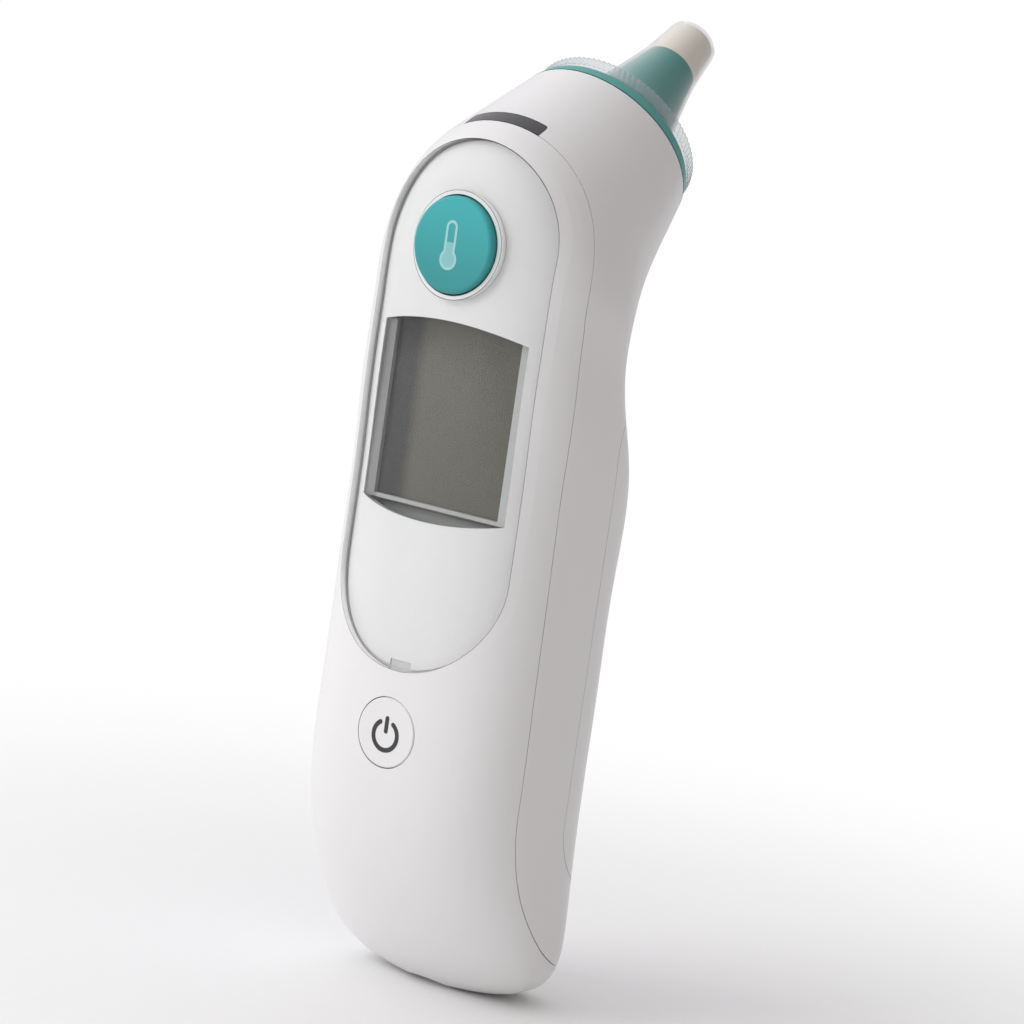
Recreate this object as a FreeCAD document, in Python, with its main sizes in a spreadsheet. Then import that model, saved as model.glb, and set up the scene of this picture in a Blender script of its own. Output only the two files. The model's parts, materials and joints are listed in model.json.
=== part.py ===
"""Digital ear thermometer, as an assembly of separate pieces (millimetres, +Z up).

The handle stands on its rounded foot with the display facing -Y.  The head leans
back towards +Y and carries the ear probe.  X = 0 is the plane of symmetry.  The
origin is under the middle of the whole outline, level with the foot.

Two working frames are used.  In the handle frame Y is 0 on the front midline and
grows towards the back, and Z is 0 at the chin line, foot_drop above the foot.  In
the head frame Z runs along the probe axis with 0 at the collar, and Y points down
towards the back of the neck.
"""
import FreeCAD, Part
import functools
import math
import os

import Sketcher
from FreeCAD import Placement, Rotation, Vector

doc = FreeCAD.newDocument("ear_thermometer")

# --------------------------------------------------------------------------
# Driving dimensions
# --------------------------------------------------------------------------
CELLS = [
    # handle cross-section: two half superellipses that meet at the widest line
    ("handle_width", 41.6), ("handle_depth", 32.6), ("widest_fraction", 0.43),
    ("front_power", 2.45), ("back_power", 3.5), ("front_to_origin", 28.194),
    # chin, where the front curves back under the foot
    ("chin_top", 33.4), ("foot_drop", 2.4), ("chin_width_power", 8.1), ("chin_width_root", 3.4),
    ("chin_front_reach", 19.5), ("chin_front_power", 2.0), ("chin_front_root", 1.08),
    ("chin_widest_y", 23.7), ("chin_back_tuck", 1.1), ("chin_front_end_power", 1.9),
    ("foot_groove_radius", 14.0), ("foot_groove_depth", 0.8),
    # head
    ("collar_y", 33.0), ("collar_height", 130.1), ("collar_radius", 15.4), ("head_lean", 49.0),
    # shell
    ("wall", 2.2), ("gap", 0.1), ("part_line_y", 9.1), ("part_line_lean", 0.013),
    ("part_bend_low", 104.0), ("seam_gap", 0.12), ("seam_depth", 0.8),
    ("part_curve_top", 32.0), ("part_curve_foot", 3.2),
    # display cover
    ("cover_half_width", 16.1), ("cover_low", 65.1), ("cover_high", 113.8), ("cover_thick", 1.2),
    ("mask_gap", 0.06), ("mask_thick", 0.2), ("ledge_thick", 1.44),
    ("window_half_width", 13.7), ("window_low", 73.6), ("window_high", 100.8), ("window_rise", 1.7),
    # display stack
    ("lcd_half_width", 12.0), ("lcd_low", 74.1), ("lcd_high", 101.1), ("lcd_front", 5.0),
    ("bezel_front", 4.25), ("bezel_flange_y", 6.4), ("bezel_back", 8.6),
    ("lcd_thick", 1.8), ("lcd_border", 1.2), ("diffuser_thick", 1.6),
    ("board_front", 9.6), ("board_thick", 1.2), ("board_half_width", 13.0),
    ("board_low", 33.0), ("board_high", 120.0),
    # buttons
    ("start_height", 113.9), ("start_radius", 7.35), ("start_proud", 0.7), ("start_flange_y", 3.8),
    ("power_height", 39.3), ("power_radius", 5.4), ("power_proud", 0.02), ("power_flange_y", 3.0),
    ("start_travel", 0.8), ("power_travel", 0.5), ("button_gap", 0.25), ("key_step", 0.8),
    ("start_collar", 0.55), ("power_gap", 0.12),
    # signal light
    ("light_half_width", 7.0), ("light_top", 134.2), ("light_arc_radius", 20.4), ("light_corner", 0.8),
    # battery compartment
    ("battery_radius", 7.1), ("battery_length", 50.2), ("battery_low", 22.5), ("battery_y", 21.0),
    ("battery_spacing", 14.8), ("tray_wall", 1.1), ("tray_floor_y", 11.8), ("tray_back_y", 21.2),
    ("contact_thick", 0.4), ("spring_length", 3.2),
    ("door_edge_y", 21.1), ("door_low", 17.2), ("door_high", 92.0), ("door_corner", 11.0),
    ("door_wall", 2.0), ("door_flat_depth", 0.35),
    # probe and filter, along the head axis
    ("barrel_radius", 8.0), ("barrel_root_radius", 6.5), ("barrel_step", -4.0), ("flange_low", -15.5),
    ("flange_thick", 1.5), ("flange_radius", 12.4), ("cone_low", 6.6), ("tip_low", 21.0), ("tip_high", 28.6),
    ("probe_bore", 4.6), ("tip_wall", 0.9), ("holder_low", 18.6), ("holder_high", 25.2),
    ("ring_thick", 2.1), ("ring_end_radius", 14.6), ("ring_base", 0.25), ("running_gap", 0.05),
    ("sleeve_wall", 1.25), ("sleeve_foot", 1.0), ("eject_travel", 3.5),
    ("filter_base", 2.2), ("filter_height", 2.5), ("filter_radius", 14.5), ("film_gap", 0.25),
    ("film_thick", 0.2), ("pin_radius", 0.8), ("pin_offset", 11.4),
]

dims = doc.addObject("Spreadsheet::Sheet", "dims")
for row, (alias, value) in enumerate(CELLS, start=1):
    dims.set(f"A{row}", alias)
    dims.set(f"B{row}", str(value))
    dims.setAlias(f"B{row}", alias)
doc.recompute()


class Sizes:
    """Reads a driving dimension from the sheet by its alias."""

    def __getattr__(self, alias):
        return float(getattr(dims, alias))


size = Sizes()
sub_parts = []


def handle_place(x=0.0, y=0.0, z=0.0):
    """Placement of a piece that is drawn in the handle frame."""
    return Placement(Vector(x, y - size.front_to_origin, z + size.foot_drop), Rotation())


def head_place(along=0.0, side=0.0, down=0.0):
    """Placement of a piece that is drawn in the head frame."""
    lean = Rotation(Vector(1, 0, 0), -size.head_lean)
    collar = Vector(0, size.collar_y - size.front_to_origin, size.collar_height + size.foot_drop)
    return Placement(collar + lean.multVec(Vector(side, down, along)), lean)


# --------------------------------------------------------------------------
# Outer form: one loft that all shells are cut from
# --------------------------------------------------------------------------
SECTION_POINTS = 56


def section_points(front, back, half_width, widest, front_power, back_power, inset):
    """Points of one closed section.  front and back are (y, z) on the midline."""
    reach_y = back[0] - front[0]
    reach_z = back[1] - front[1]
    length = math.hypot(reach_y, reach_z)
    step_y = reach_y / length
    step_z = reach_z / length
    front_half = widest * length - inset
    back_half = (1 - widest) * length - inset
    points = []
    for index in range(SECTION_POINTS):
        angle = math.pi / 2 + 2 * math.pi * index / SECTION_POINTS
        side = math.cos(angle)
        depth = math.sin(angle)
        power = back_power if depth >= 0 else front_power
        half = back_half if depth >= 0 else front_half
        scale = (abs(side) ** power + abs(depth) ** power) ** (-1 / power)
        along = widest * length + half * depth * scale
        x = (half_width - inset) * side * scale
        points.append(Vector(x, front[0] + step_y * along, front[1] + step_z * along))
    return points


def chin_station(height):
    """Section of the chin: the front curves back while the back stays straight."""
    drop = (size.chin_top - height) / (size.chin_top + size.foot_drop + 0.05)
    half_width = size.handle_width / 2 * (1 - drop**size.chin_width_power) ** (1 / size.chin_width_root)
    curve = (1 - drop**size.chin_front_power) ** (1 / size.chin_front_root)
    front_y = size.chin_front_reach * (1 - curve)
    back_y = size.handle_depth - size.chin_back_tuck * drop**10
    straight_widest = size.widest_fraction * size.handle_depth
    widest_y = straight_widest + (size.chin_widest_y - straight_widest) * drop**2
    widest = (widest_y - front_y) / (back_y - front_y)
    front_power = size.front_power + (size.chin_front_end_power - size.front_power) * drop
    return (front_y, height), (back_y, height), half_width, widest, front_power, size.back_power


def straight_station(height):
    """Section of the straight handle."""
    return (
        (0.0, height),
        (size.handle_depth, height),
        size.handle_width / 2,
        size.widest_fraction,
        size.front_power,
        size.back_power,
    )


def collar_station(along, radius):
    """Round section of the head, square to the probe axis."""
    lean = math.radians(size.head_lean)
    centre_y = size.collar_y + along * math.sin(lean)
    centre_z = size.collar_height + along * math.cos(lean)
    drop_y = radius * math.cos(lean)
    drop_z = radius * math.sin(lean)
    front = (centre_y - drop_y, centre_z + drop_z)
    back = (centre_y + drop_y, centre_z - drop_z)
    return front, back, radius, 0.5, 2.0, 2.0


# front (y, z), back (y, z), half width, widest fraction, front power, back power
NECK_STATIONS = [
    ((0.0, 93.4), (29.4, 90.4), 20.7, 0.43, 2.45, 3.3),
    ((0.0, 106.4), (28.1, 95.9), 20.5, 0.44, 2.4, 3.0),
    ((0.1, 118.4), (28.6, 100.2), 20.6, 0.46, 2.25, 2.7),
    ((2.6, 128.9), (32.6, 103.8), 19.2, 0.48, 2.1, 2.3),
]
STRAIGHT_HEIGHTS = (33.4, 48.0, 65.0, 81.4)
CHIN_RISES = (0.0, 0.3, 0.8, 1.6, 3.2, 6.0, 10.0, 15.0, 21.0, 27.0)
HEAD_TAPER = math.tan(math.radians(12.0))
STEPS_BETWEEN = 3


@functools.lru_cache
def outer_form(inset=0.0):
    """Solid inside the outer surface, moved inwards by inset."""
    foot = inset - size.foot_drop
    stations = [chin_station(foot + rise) for rise in CHIN_RISES]
    stations += [straight_station(height) for height in STRAIGHT_HEIGHTS]
    stations += NECK_STATIONS
    for along in (-12.0, -5.8, 0.0):
        stations.append(collar_station(along, size.collar_radius - along * HEAD_TAPER))
    rows = [section_points(*station, inset) for station in stations]

    # distance along the midline places the stations, and smooth lines join their points
    travel = [0.0]
    for last, now in zip(stations, stations[1:]):
        middle = [(last[0][axis] + last[1][axis] - now[0][axis] - now[1][axis]) / 2 for axis in (0, 1)]
        travel.append(travel[-1] + math.hypot(*middle))
    lines = []
    for column in zip(*rows):
        line = Part.BSplineCurve()
        line.interpolate(Points=list(column), Parameters=travel)
        lines.append(line)
    places = [travel[0]]
    for last, now in zip(travel, travel[1:]):
        places += [last + (now - last) * step / STEPS_BETWEEN for step in range(1, STEPS_BETWEEN + 1)]

    spread = [index / SECTION_POINTS for index in range(SECTION_POINTS + 1)]
    wires = []
    for place in places:
        curve = Part.BSplineCurve()
        curve.interpolate(Points=[line.value(place) for line in lines], PeriodicFlag=True, Parameters=spread)
        wires.append(Part.Wire([curve.toShape()]))
    return Part.makeLoft(wires, True, False)


# --------------------------------------------------------------------------
# Helpers for bodies, sketches and features
# --------------------------------------------------------------------------
def new_body(name, placement):
    body = doc.addObject("PartDesign::Body", name)
    body.Label = name
    body.Placement = placement
    sub_parts.append(body)
    return body


def new_sketch(body, name, role, shift=None):
    """Sketch on one of the body's own origin planes, shifted along the plane's normal."""
    sketch = body.newObject("Sketcher::SketchObject", name)
    plane = next(item for item in body.Origin.OriginFeatures if item.Role == role)
    sketch.AttachmentSupport = [(plane, "")]
    sketch.MapMode = "FlatFace"
    if shift:
        sketch.setExpression("AttachmentOffset.Base.z", shift)
    return sketch


def add_outline(sketch, corners):
    """Closed polygon whose corners are bound to expressions."""
    values = [
        Vector(float(sketch.evalExpression(across)), float(sketch.evalExpression(up)), 0)
        for across, up in corners
    ]
    count = len(values)
    first = sketch.GeometryCount
    for index in range(count):
        sketch.addGeometry(Part.LineSegment(values[index], values[(index + 1) % count]), False)
    for index in range(count):
        sketch.addConstraint(
            Sketcher.Constraint("Coincident", first + index, 2, first + (index + 1) % count, 1)
        )
    for index, (across, up) in enumerate(corners):
        for kind, value, rule in (("DistanceX", values[index].x, across), ("DistanceY", values[index].y, up)):
            number = sketch.addConstraint(Sketcher.Constraint(kind, -1, 1, first + index, 1, value))
            sketch.setExpression(f"Constraints[{number}]", rule)


def add_rectangle(sketch, left, right, low, high):
    add_outline(sketch, [(left, low), (right, low), (right, high), (left, high)])


def add_circle(sketch, across, up, radius):
    """Circle whose centre and radius are bound to expressions."""
    centre = Vector(float(sketch.evalExpression(across)), float(sketch.evalExpression(up)), 0)
    value = float(sketch.evalExpression(radius))
    circle = sketch.addGeometry(Part.Circle(centre, Vector(0, 0, 1), value), False)
    for kind, position, rule in (("DistanceX", centre.x, across), ("DistanceY", centre.y, up)):
        number = sketch.addConstraint(Sketcher.Constraint(kind, -1, 1, circle, 3, position))
        sketch.setExpression(f"Constraints[{number}]", rule)
    number = sketch.addConstraint(Sketcher.Constraint("Radius", circle, value))
    sketch.setExpression(f"Constraints[{number}]", radius)


def add_pad(body, sketch, length, backwards=False):
    pad = body.newObject("PartDesign::Pad", sketch.Name + "_pad")
    pad.Profile = sketch
    pad.setExpression("Length", length)
    pad.Reversed = backwards
    doc.recompute()
    return pad


def add_pocket(body, sketch, length, forwards=False):
    """Pocket that must remove material."""
    before = body.Tip.Shape.Volume
    pocket = body.newObject("PartDesign::Pocket", sketch.Name + "_pocket")
    pocket.Profile = sketch
    pocket.setExpression("Length", length)
    pocket.Reversed = forwards
    doc.recompute()
    if pocket.Shape.Volume >= before - TINY:
        raise RuntimeError(f"{pocket.Name} cuts nothing")
    return pocket


def add_turning(body, sketch):
    """Full revolution about the sketch's upright axis."""
    turning = body.newObject("PartDesign::Revolution", sketch.Name + "_turned")
    turning.Profile = sketch
    turning.ReferenceAxis = (sketch, ["V_Axis"])
    turning.Angle = 360.0
    doc.recompute()
    return turning


def round_edges(body, radius, chosen, name):
    """Fillet of the tip's edges for which chosen(edge) is true."""
    doc.recompute()
    base = body.Tip
    names = [f"Edge{number}" for number, edge in enumerate(base.Shape.Edges, start=1) if chosen(edge)]
    fillet = body.newObject("PartDesign::Fillet", name)
    fillet.Base = (base, names)
    fillet.setExpression("Radius", radius)
    doc.recompute()
    return fillet


def front_plate(name, placement, outline, y_front, thickness):
    """Body padded towards +Y from a sketch that faces the front."""
    body = new_body(name, placement)
    sketch = new_sketch(body, name + "_outline", "XZ_Plane", f"-({y_front})")
    outline(sketch)
    add_pad(body, sketch, thickness, backwards=True)
    return body


def turned(name, placement, profile):
    """Body turned about its own Z axis from (radius, height) corners."""
    body = new_body(name, placement)
    sketch = new_sketch(body, name + "_profile", "XZ_Plane")
    add_outline(sketch, profile)
    add_turning(body, sketch)
    return body


def shaped(name, shape, placement):
    """Free-form piece whose shape is computed from the sheet's sizes."""
    feature = doc.addObject("Part::Feature", name)
    feature.Label = name
    feature.Shape = shape
    feature.Placement = placement
    sub_parts.append(feature)
    return feature


# --------------------------------------------------------------------------
# Cutting tools in the handle frame
# --------------------------------------------------------------------------
FAR = 60.0
TINY = 1e-6


def side_prism(edges):
    """Prism across the full width from a closed outline in the YZ plane."""
    face = Part.Face(Part.Wire(Part.__sortEdges__(edges)))
    return face.extrude(Vector(2 * FAR, 0, 0))


def side_point(y, z):
    return Vector(-FAR, y, z)


def quarter_ellipse(centre_y, centre_z, half_y, half_z, towards_y, towards_z):
    """Quarter ellipse in the YZ plane as a smooth curve through its own points."""
    points = []
    for index in range(13):
        angle = math.pi / 2 * index / 12
        y = centre_y + towards_y * half_y * math.cos(angle)
        z = centre_z + towards_z * half_z * math.sin(angle)
        points.append(side_point(y, z))
    curve = Part.BSplineCurve()
    curve.interpolate(Points=points)
    return curve.toShape()


# depth and height of the parting line over the brow, where it swings back and then forwards
BROW_LINE = [(8.5, 113.5), (9.15, 120.5), (8.5, 127.0), (6.9, 132.7), (5.0, 137.0)]


def brow_curve():
    """The parting line above its straight run, which leans slightly forwards."""
    start_y = size.part_line_y - size.part_line_lean * (size.part_bend_low - size.part_curve_top)
    points = [side_point(start_y, size.part_bend_low)] + [side_point(y, z) for y, z in BROW_LINE]
    curve = Part.BSplineCurve()
    curve.interpolate(Points=points)
    return points[0], points[-1], curve.toShape()


def front_region():
    """Everything in front of the parting line, which curves back under the chin."""
    reach = size.handle_depth + 0.4 - size.part_line_y
    drop = size.part_curve_top - size.part_curve_foot
    curve = quarter_ellipse(size.part_line_y + reach, size.part_curve_top, reach, drop, -1, -1)
    start = side_point(size.part_line_y, size.part_curve_top)
    end = side_point(size.part_line_y + reach, size.part_curve_foot)
    bend_start, bend_end, brow = brow_curve()
    corners = [
        end,
        side_point(FAR, size.part_curve_foot),
        side_point(FAR, -FAR),
        side_point(-FAR, -FAR),
        side_point(-FAR, bend_end.z),
        bend_end,
    ]
    edges = [curve, brow, Part.makeLine(start, bend_start)]
    for first, second in zip(corners, corners[1:]):
        edges.append(Part.makeLine(first, second))
    return side_prism(edges)


def behind_seam(front):
    """The front region grown backwards and upwards by the seam's width."""
    grown = front.copy()
    grown.translate(Vector(0, size.seam_gap, size.seam_gap))
    return grown


def door_region(clearance):
    """Side outline of the battery door, grown by clearance."""
    edge_y = size.door_edge_y - clearance
    low = size.door_low - clearance
    high = size.door_high + clearance
    back = size.handle_depth + 2
    corner = size.door_corner
    top_corner = 0.6 * size.door_corner
    low_curve = quarter_ellipse(edge_y + corner, low + corner, corner, corner, -1, -1)
    top_curve = quarter_ellipse(edge_y + top_corner, high - top_corner, top_corner, top_corner, -1, 1)
    lines = [
        (side_point(edge_y, low + corner), side_point(edge_y, high - top_corner)),
        (side_point(edge_y + corner, low), side_point(back, low)),
        (side_point(back, low), side_point(back, high)),
        (side_point(back, high), side_point(edge_y + top_corner, high)),
    ]
    edges = [low_curve, top_curve]
    for first, second in lines:
        edges.append(Part.makeLine(first, second))
    return side_prism(edges)


def stadium_prism(grow, y_back=14.0):
    """Upright stadium of the display cover, cut through from the front."""
    radius = size.cover_half_width + grow
    low = size.cover_low
    high = size.cover_high
    y = -5.0
    edges = [
        Part.Arc(Vector(radius, y, high), Vector(0, y, high + radius), Vector(-radius, y, high)).toShape(),
        Part.makeLine(Vector(-radius, y, high), Vector(-radius, y, low)),
        Part.Arc(Vector(-radius, y, low), Vector(0, y, low - radius), Vector(radius, y, low)).toShape(),
        Part.makeLine(Vector(radius, y, low), Vector(radius, y, high)),
    ]
    return Part.Face(Part.Wire(edges)).extrude(Vector(0, y_back - y, 0))


def window_prism(grow):
    """Barrel-shaped window: straight sides, bowed top and bottom."""
    half = size.window_half_width + grow
    low = size.window_low - grow
    high = size.window_high + grow
    rise = size.window_rise
    y = -5.0
    edges = [
        Part.Arc(Vector(half, y, high), Vector(0, y, high + rise), Vector(-half, y, high)).toShape(),
        Part.makeLine(Vector(-half, y, high), Vector(-half, y, low)),
        Part.Arc(Vector(-half, y, low), Vector(0, y, low - rise), Vector(half, y, low)).toShape(),
        Part.makeLine(Vector(half, y, low), Vector(half, y, high)),
    ]
    return Part.Face(Part.Wire(edges)).extrude(Vector(0, 12, 0))


def light_prism(grow):
    """Crescent above the parting line that the signal light shines through."""
    radius = size.light_arc_radius + grow
    centre_z = size.light_top - size.light_arc_radius
    half = size.light_half_width + grow
    box = Part.makeBox(2 * half, 16, 12, Vector(-half, 0, size.light_top - 6))
    disc = Part.makeCylinder(radius, 40, Vector(0, 0, centre_z), Vector(0, 1, 0))
    window = box.common(disc)
    corners = [edge for edge in window.Edges if is_upper_corner(edge, centre_z)]
    return window.makeFillet(size.light_corner, corners)


def is_upper_corner(edge, height):
    """True for a straight edge along Y that lies above a height."""
    first, last = edge.Vertexes[0].Point, edge.Vertexes[-1].Point
    along_y = abs(first.x - last.x) < TINY and abs(first.z - last.z) < TINY and first.y != last.y
    return along_y and first.z > height + size.light_arc_radius / 2 and abs(first.x) > 1.0


def front_bore(radius, height, y_from, y_to):
    """Cylinder along Y through the front wall."""
    return Part.makeCylinder(radius, y_to - y_from, Vector(0, y_from, height), Vector(0, 1, 0))


def in_handle(shape_in_head):
    """Moves a shape from the head frame to the handle frame."""
    lean = Rotation(Vector(1, 0, 0), -size.head_lean)
    moved = shape_in_head.copy()
    moved.Placement = Placement(Vector(0, size.collar_y, size.collar_height), lean).multiply(moved.Placement)
    return moved


def post(radius, x, z, y_from, y_to):
    """Screw post along Y."""
    return Part.makeCylinder(radius, y_to - y_from, Vector(x, y_from, z), Vector(0, 1, 0))


BOARD_SCREWS = [(side * 11.4, z) for z in (36.5, 108.0) for side in (-1, 1)]
# (x, z, back end of the post)
CASE_SCREWS = [(-15.0, 106.0, 12.4), (15.0, 106.0, 12.4), (0.0, 18.0, 14.8)]
CASE_LUG_THICK = 2.0
PROBE_SCREW_ANGLES = (90, 210, 330)
PROBE_SCREW_CIRCLE = 10.4
SHANK_RADIUS = 0.8
HEAD_RADIUS = 1.5
HEAD_THICK = 0.9
POST_RADIUS = 2.1
PILOT_DEPTH = 4.2


def screw(x, z, y_head):
    """Cheese-head screw along Y: the head sits on y_head, the shank points to the front."""
    shank = post(SHANK_RADIUS, x, z, y_head - PILOT_DEPTH - 1.0, y_head)
    return post(HEAD_RADIUS, x, z, y_head, y_head + HEAD_THICK).fuse(shank)


def biggest(shape):
    """The largest solid of a boolean result."""
    return max(shape.Solids, key=lambda solid: solid.Volume)


def in_head_circle(angle, circle):
    """Point at an angle on a circle about the probe axis, in the head frame."""
    turn = math.radians(angle)
    return circle * math.cos(turn), circle * math.sin(turn)


# --------------------------------------------------------------------------
# Shells
# --------------------------------------------------------------------------
def start_collar(grow):
    """Outside of the shell's thin collar around the start button, grown by a clearance."""
    radius = size.start_radius + size.button_gap + size.start_collar + grow
    return front_bore(radius, size.start_height, -5, 9)


def make_cover_and_mask(outer):
    """Clear display cover and the white mask printed sheet behind it."""
    cover_back = outer_form(size.cover_thick)
    mask_front = outer_form(size.cover_thick + size.mask_gap)
    mask_back = outer_form(size.cover_thick + size.mask_gap + size.mask_thick)
    start_hole = start_collar(size.gap)
    cover = outer.common(stadium_prism(0)).cut([cover_back, start_hole])
    shaped("display_cover", biggest(cover), handle_place())

    notch_low = size.cover_low - size.cover_half_width - 1.6
    tab_notch = Part.makeBox(4.0, 12, 3.0, Vector(-2.0, -2, notch_low))
    mask = outer.common(stadium_prism(-0.25)).common(mask_front)
    mask = mask.cut([mask_back, start_hole, window_prism(0), tab_notch])
    shaped("cover_mask", biggest(mask), handle_place())


def lcd_room():
    """Clearance for the display glass behind the window ledge."""
    half = size.lcd_half_width + size.lcd_border + size.gap
    low = size.lcd_low - size.lcd_border - size.gap
    high = size.lcd_high + size.lcd_border + size.gap
    return Part.makeBox(2 * half, 4, high - low, Vector(-half, size.lcd_front - 2 * size.gap, low))


def make_front_housing(outer, inner, front):
    """Front shell with its cover recess, window, button holes and screw posts."""
    mask_depth = size.cover_thick + size.mask_gap + size.mask_thick
    mask_back = outer_form(mask_depth)
    ledge_back = outer_form(mask_depth + size.ledge_thick)
    ledge = outer.common(stadium_prism(1.4)).cut(ledge_back).common(front)
    columns = [post(POST_RADIUS, x, z, 1.5, size.board_front) for x, z in BOARD_SCREWS]
    columns += [post(POST_RADIUS - 0.3, x, z, 1.5, back) for x, z, back in CASE_SCREWS]
    shell = outer.common(front).cut(inner)
    shell = shell.fuse([ledge] + [column.common(outer) for column in columns])

    cuts = [stadium_prism(size.gap).cut([mask_back, start_collar(0)]), window_prism(0.3)]
    cuts.append(front_bore(size.start_radius + size.button_gap, size.start_height, -5, 9))
    cuts.append(front_bore(size.power_radius + size.power_gap, size.power_height, -5, 9))
    pilot = SHANK_RADIUS + 0.02
    cuts += [post(pilot, x, z, size.board_front - PILOT_DEPTH, 11.0) for x, z in BOARD_SCREWS]
    cuts += [post(pilot, x, z, back - PILOT_DEPTH, back + 1) for x, z, back in CASE_SCREWS]
    cuts.append(lcd_room())
    groove_axis = Vector(0, 0, size.foot_groove_depth - size.foot_groove_radius - size.foot_drop)
    cuts.append(Part.makeCylinder(size.foot_groove_radius, 60, groove_axis, Vector(0, 1, 0)))
    shaped("front_housing", biggest(shell.cut(cuts)), handle_place())


def make_rear_housing(outer, inner, front):
    """Rear shell with the head, the battery opening, the probe rib and the case-screw lugs."""
    seam = behind_seam(front).cut(outer_form(size.seam_depth))
    rear = outer.cut([inner, front, seam, door_region(size.gap), light_prism(0.05)])
    lip = inner.common(door_region(size.gap)).cut([door_region(-2.2), outer_form(size.wall + 1.2), front])
    rib = Part.makeCylinder(30, 1.7, Vector(0, 0, size.flange_low - 1.7))
    rib = rib.cut(Part.makeCylinder(8.6, 6, Vector(0, 0, size.flange_low - 4)))
    lugs = []
    for (x, z, back), (width, height) in zip(CASE_SCREWS, ((6, 6), (6, 6), (44, 5))):
        corner = Vector(x - width / 2 + math.copysign(1.0, x) * (x != 0), back, z - height / 2)
        lugs.append(Part.makeBox(width, CASE_LUG_THICK, height, corner))
    core = outer_form(size.wall - 0.2)
    rear = rear.fuse([lip, in_handle(rib).common(core)] + [lug.common(core) for lug in lugs])

    cuts = [post(SHANK_RADIUS + 0.05, x, z, back - 1, back + 4) for x, z, back in CASE_SCREWS]
    for angle in PROBE_SCREW_ANGLES:
        x, y = in_head_circle(angle, PROBE_SCREW_CIRCLE)
        cuts.append(in_handle(Part.makeCylinder(SHANK_RADIUS + 0.02, 5, Vector(x, y, size.flange_low - 4))))
    shaped("rear_housing", biggest(rear.cut(cuts)), handle_place())


def make_battery_door(outer):
    """Door on the back, with a flat strip that the thermometer can be fastened by."""
    door = outer.common(door_region(0)).cut(outer_form(size.door_wall))
    flat_y = size.handle_depth - size.door_flat_depth
    door = door.cut(Part.makeBox(2 * FAR, 5, 50, Vector(-FAR, flat_y, size.chin_top)))
    shaped("battery_door", biggest(door), handle_place())


def make_light_lens(outer, front):
    """Dark crescent lens over the signal light, above the parting line."""
    lens = outer.common(light_prism(0)).cut([outer_form(1.9), behind_seam(front)])
    shaped("signal_light_lens", biggest(lens), handle_place())


# --------------------------------------------------------------------------
# Display stack and circuit board
# --------------------------------------------------------------------------
def make_display():
    low = "dims.lcd_low"
    high = "dims.lcd_high"
    half = "dims.lcd_half_width"

    frame = front_plate(
        "lcd_frame",
        handle_place(),
        lambda sketch: add_rectangle(sketch, "-14.4", "14.4", "dims.window_low - 3", "dims.window_high + 3"),
        "dims.bezel_flange_y",
        "dims.bezel_back - dims.bezel_flange_y",
    )
    collar = new_sketch(frame, "lcd_frame_collar", "XZ_Plane", "-dims.bezel_flange_y")
    add_rectangle(collar, "-13.8", "13.8", "dims.window_low - 0.1", "dims.window_high + 0.1")
    add_pad(frame, collar, "dims.bezel_flange_y - dims.bezel_front")
    seat = new_sketch(frame, "lcd_frame_seat", "XZ_Plane", "-dims.bezel_back")
    grow = "dims.lcd_border"
    add_rectangle(seat, f"-{half} - {grow}", f"{half} + {grow}", f"{low} - {grow}", f"{high} + {grow}")
    add_pocket(frame, seat, "dims.bezel_back - dims.lcd_front", forwards=True)
    opening = new_sketch(frame, "lcd_frame_opening", "XZ_Plane", "-dims.bezel_front")
    add_rectangle(opening, f"-{half}", half, low, high)
    add_pocket(frame, opening, "dims.lcd_front - dims.bezel_front + 1")

    front_plate(
        "lcd_glass",
        handle_place(),
        lambda sketch: add_rectangle(
            sketch, f"-{half} - 1.1", f"{half} + 1.1", f"{low} - 1.1", f"{high} + 1.1"
        ),
        "dims.lcd_front",
        "dims.lcd_thick",
    )
    front_plate(
        "backlight_diffuser",
        handle_place(),
        lambda sketch: add_rectangle(sketch, f"-{half}", half, f"{low} + 1.6", f"{high} + 0.9"),
        "dims.lcd_front + dims.lcd_thick",
        "dims.diffuser_thick",
    )
    front_plate(
        "contact_strip",
        handle_place(),
        lambda sketch: add_rectangle(sketch, f"-{half}", half, f"{low} - 0.8", f"{low} + 1.4"),
        "dims.lcd_front + dims.lcd_thick",
        "dims.board_front - dims.lcd_front - dims.lcd_thick",
    )


def is_board_corner(edge):
    """True for the four short edges where the board's long sides meet its ends."""
    box = edge.BoundBox
    through = abs(box.YLength - size.board_thick) < TINY and box.ZLength < TINY
    return through and abs(abs(box.XMin) - size.board_half_width) < TINY


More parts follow.
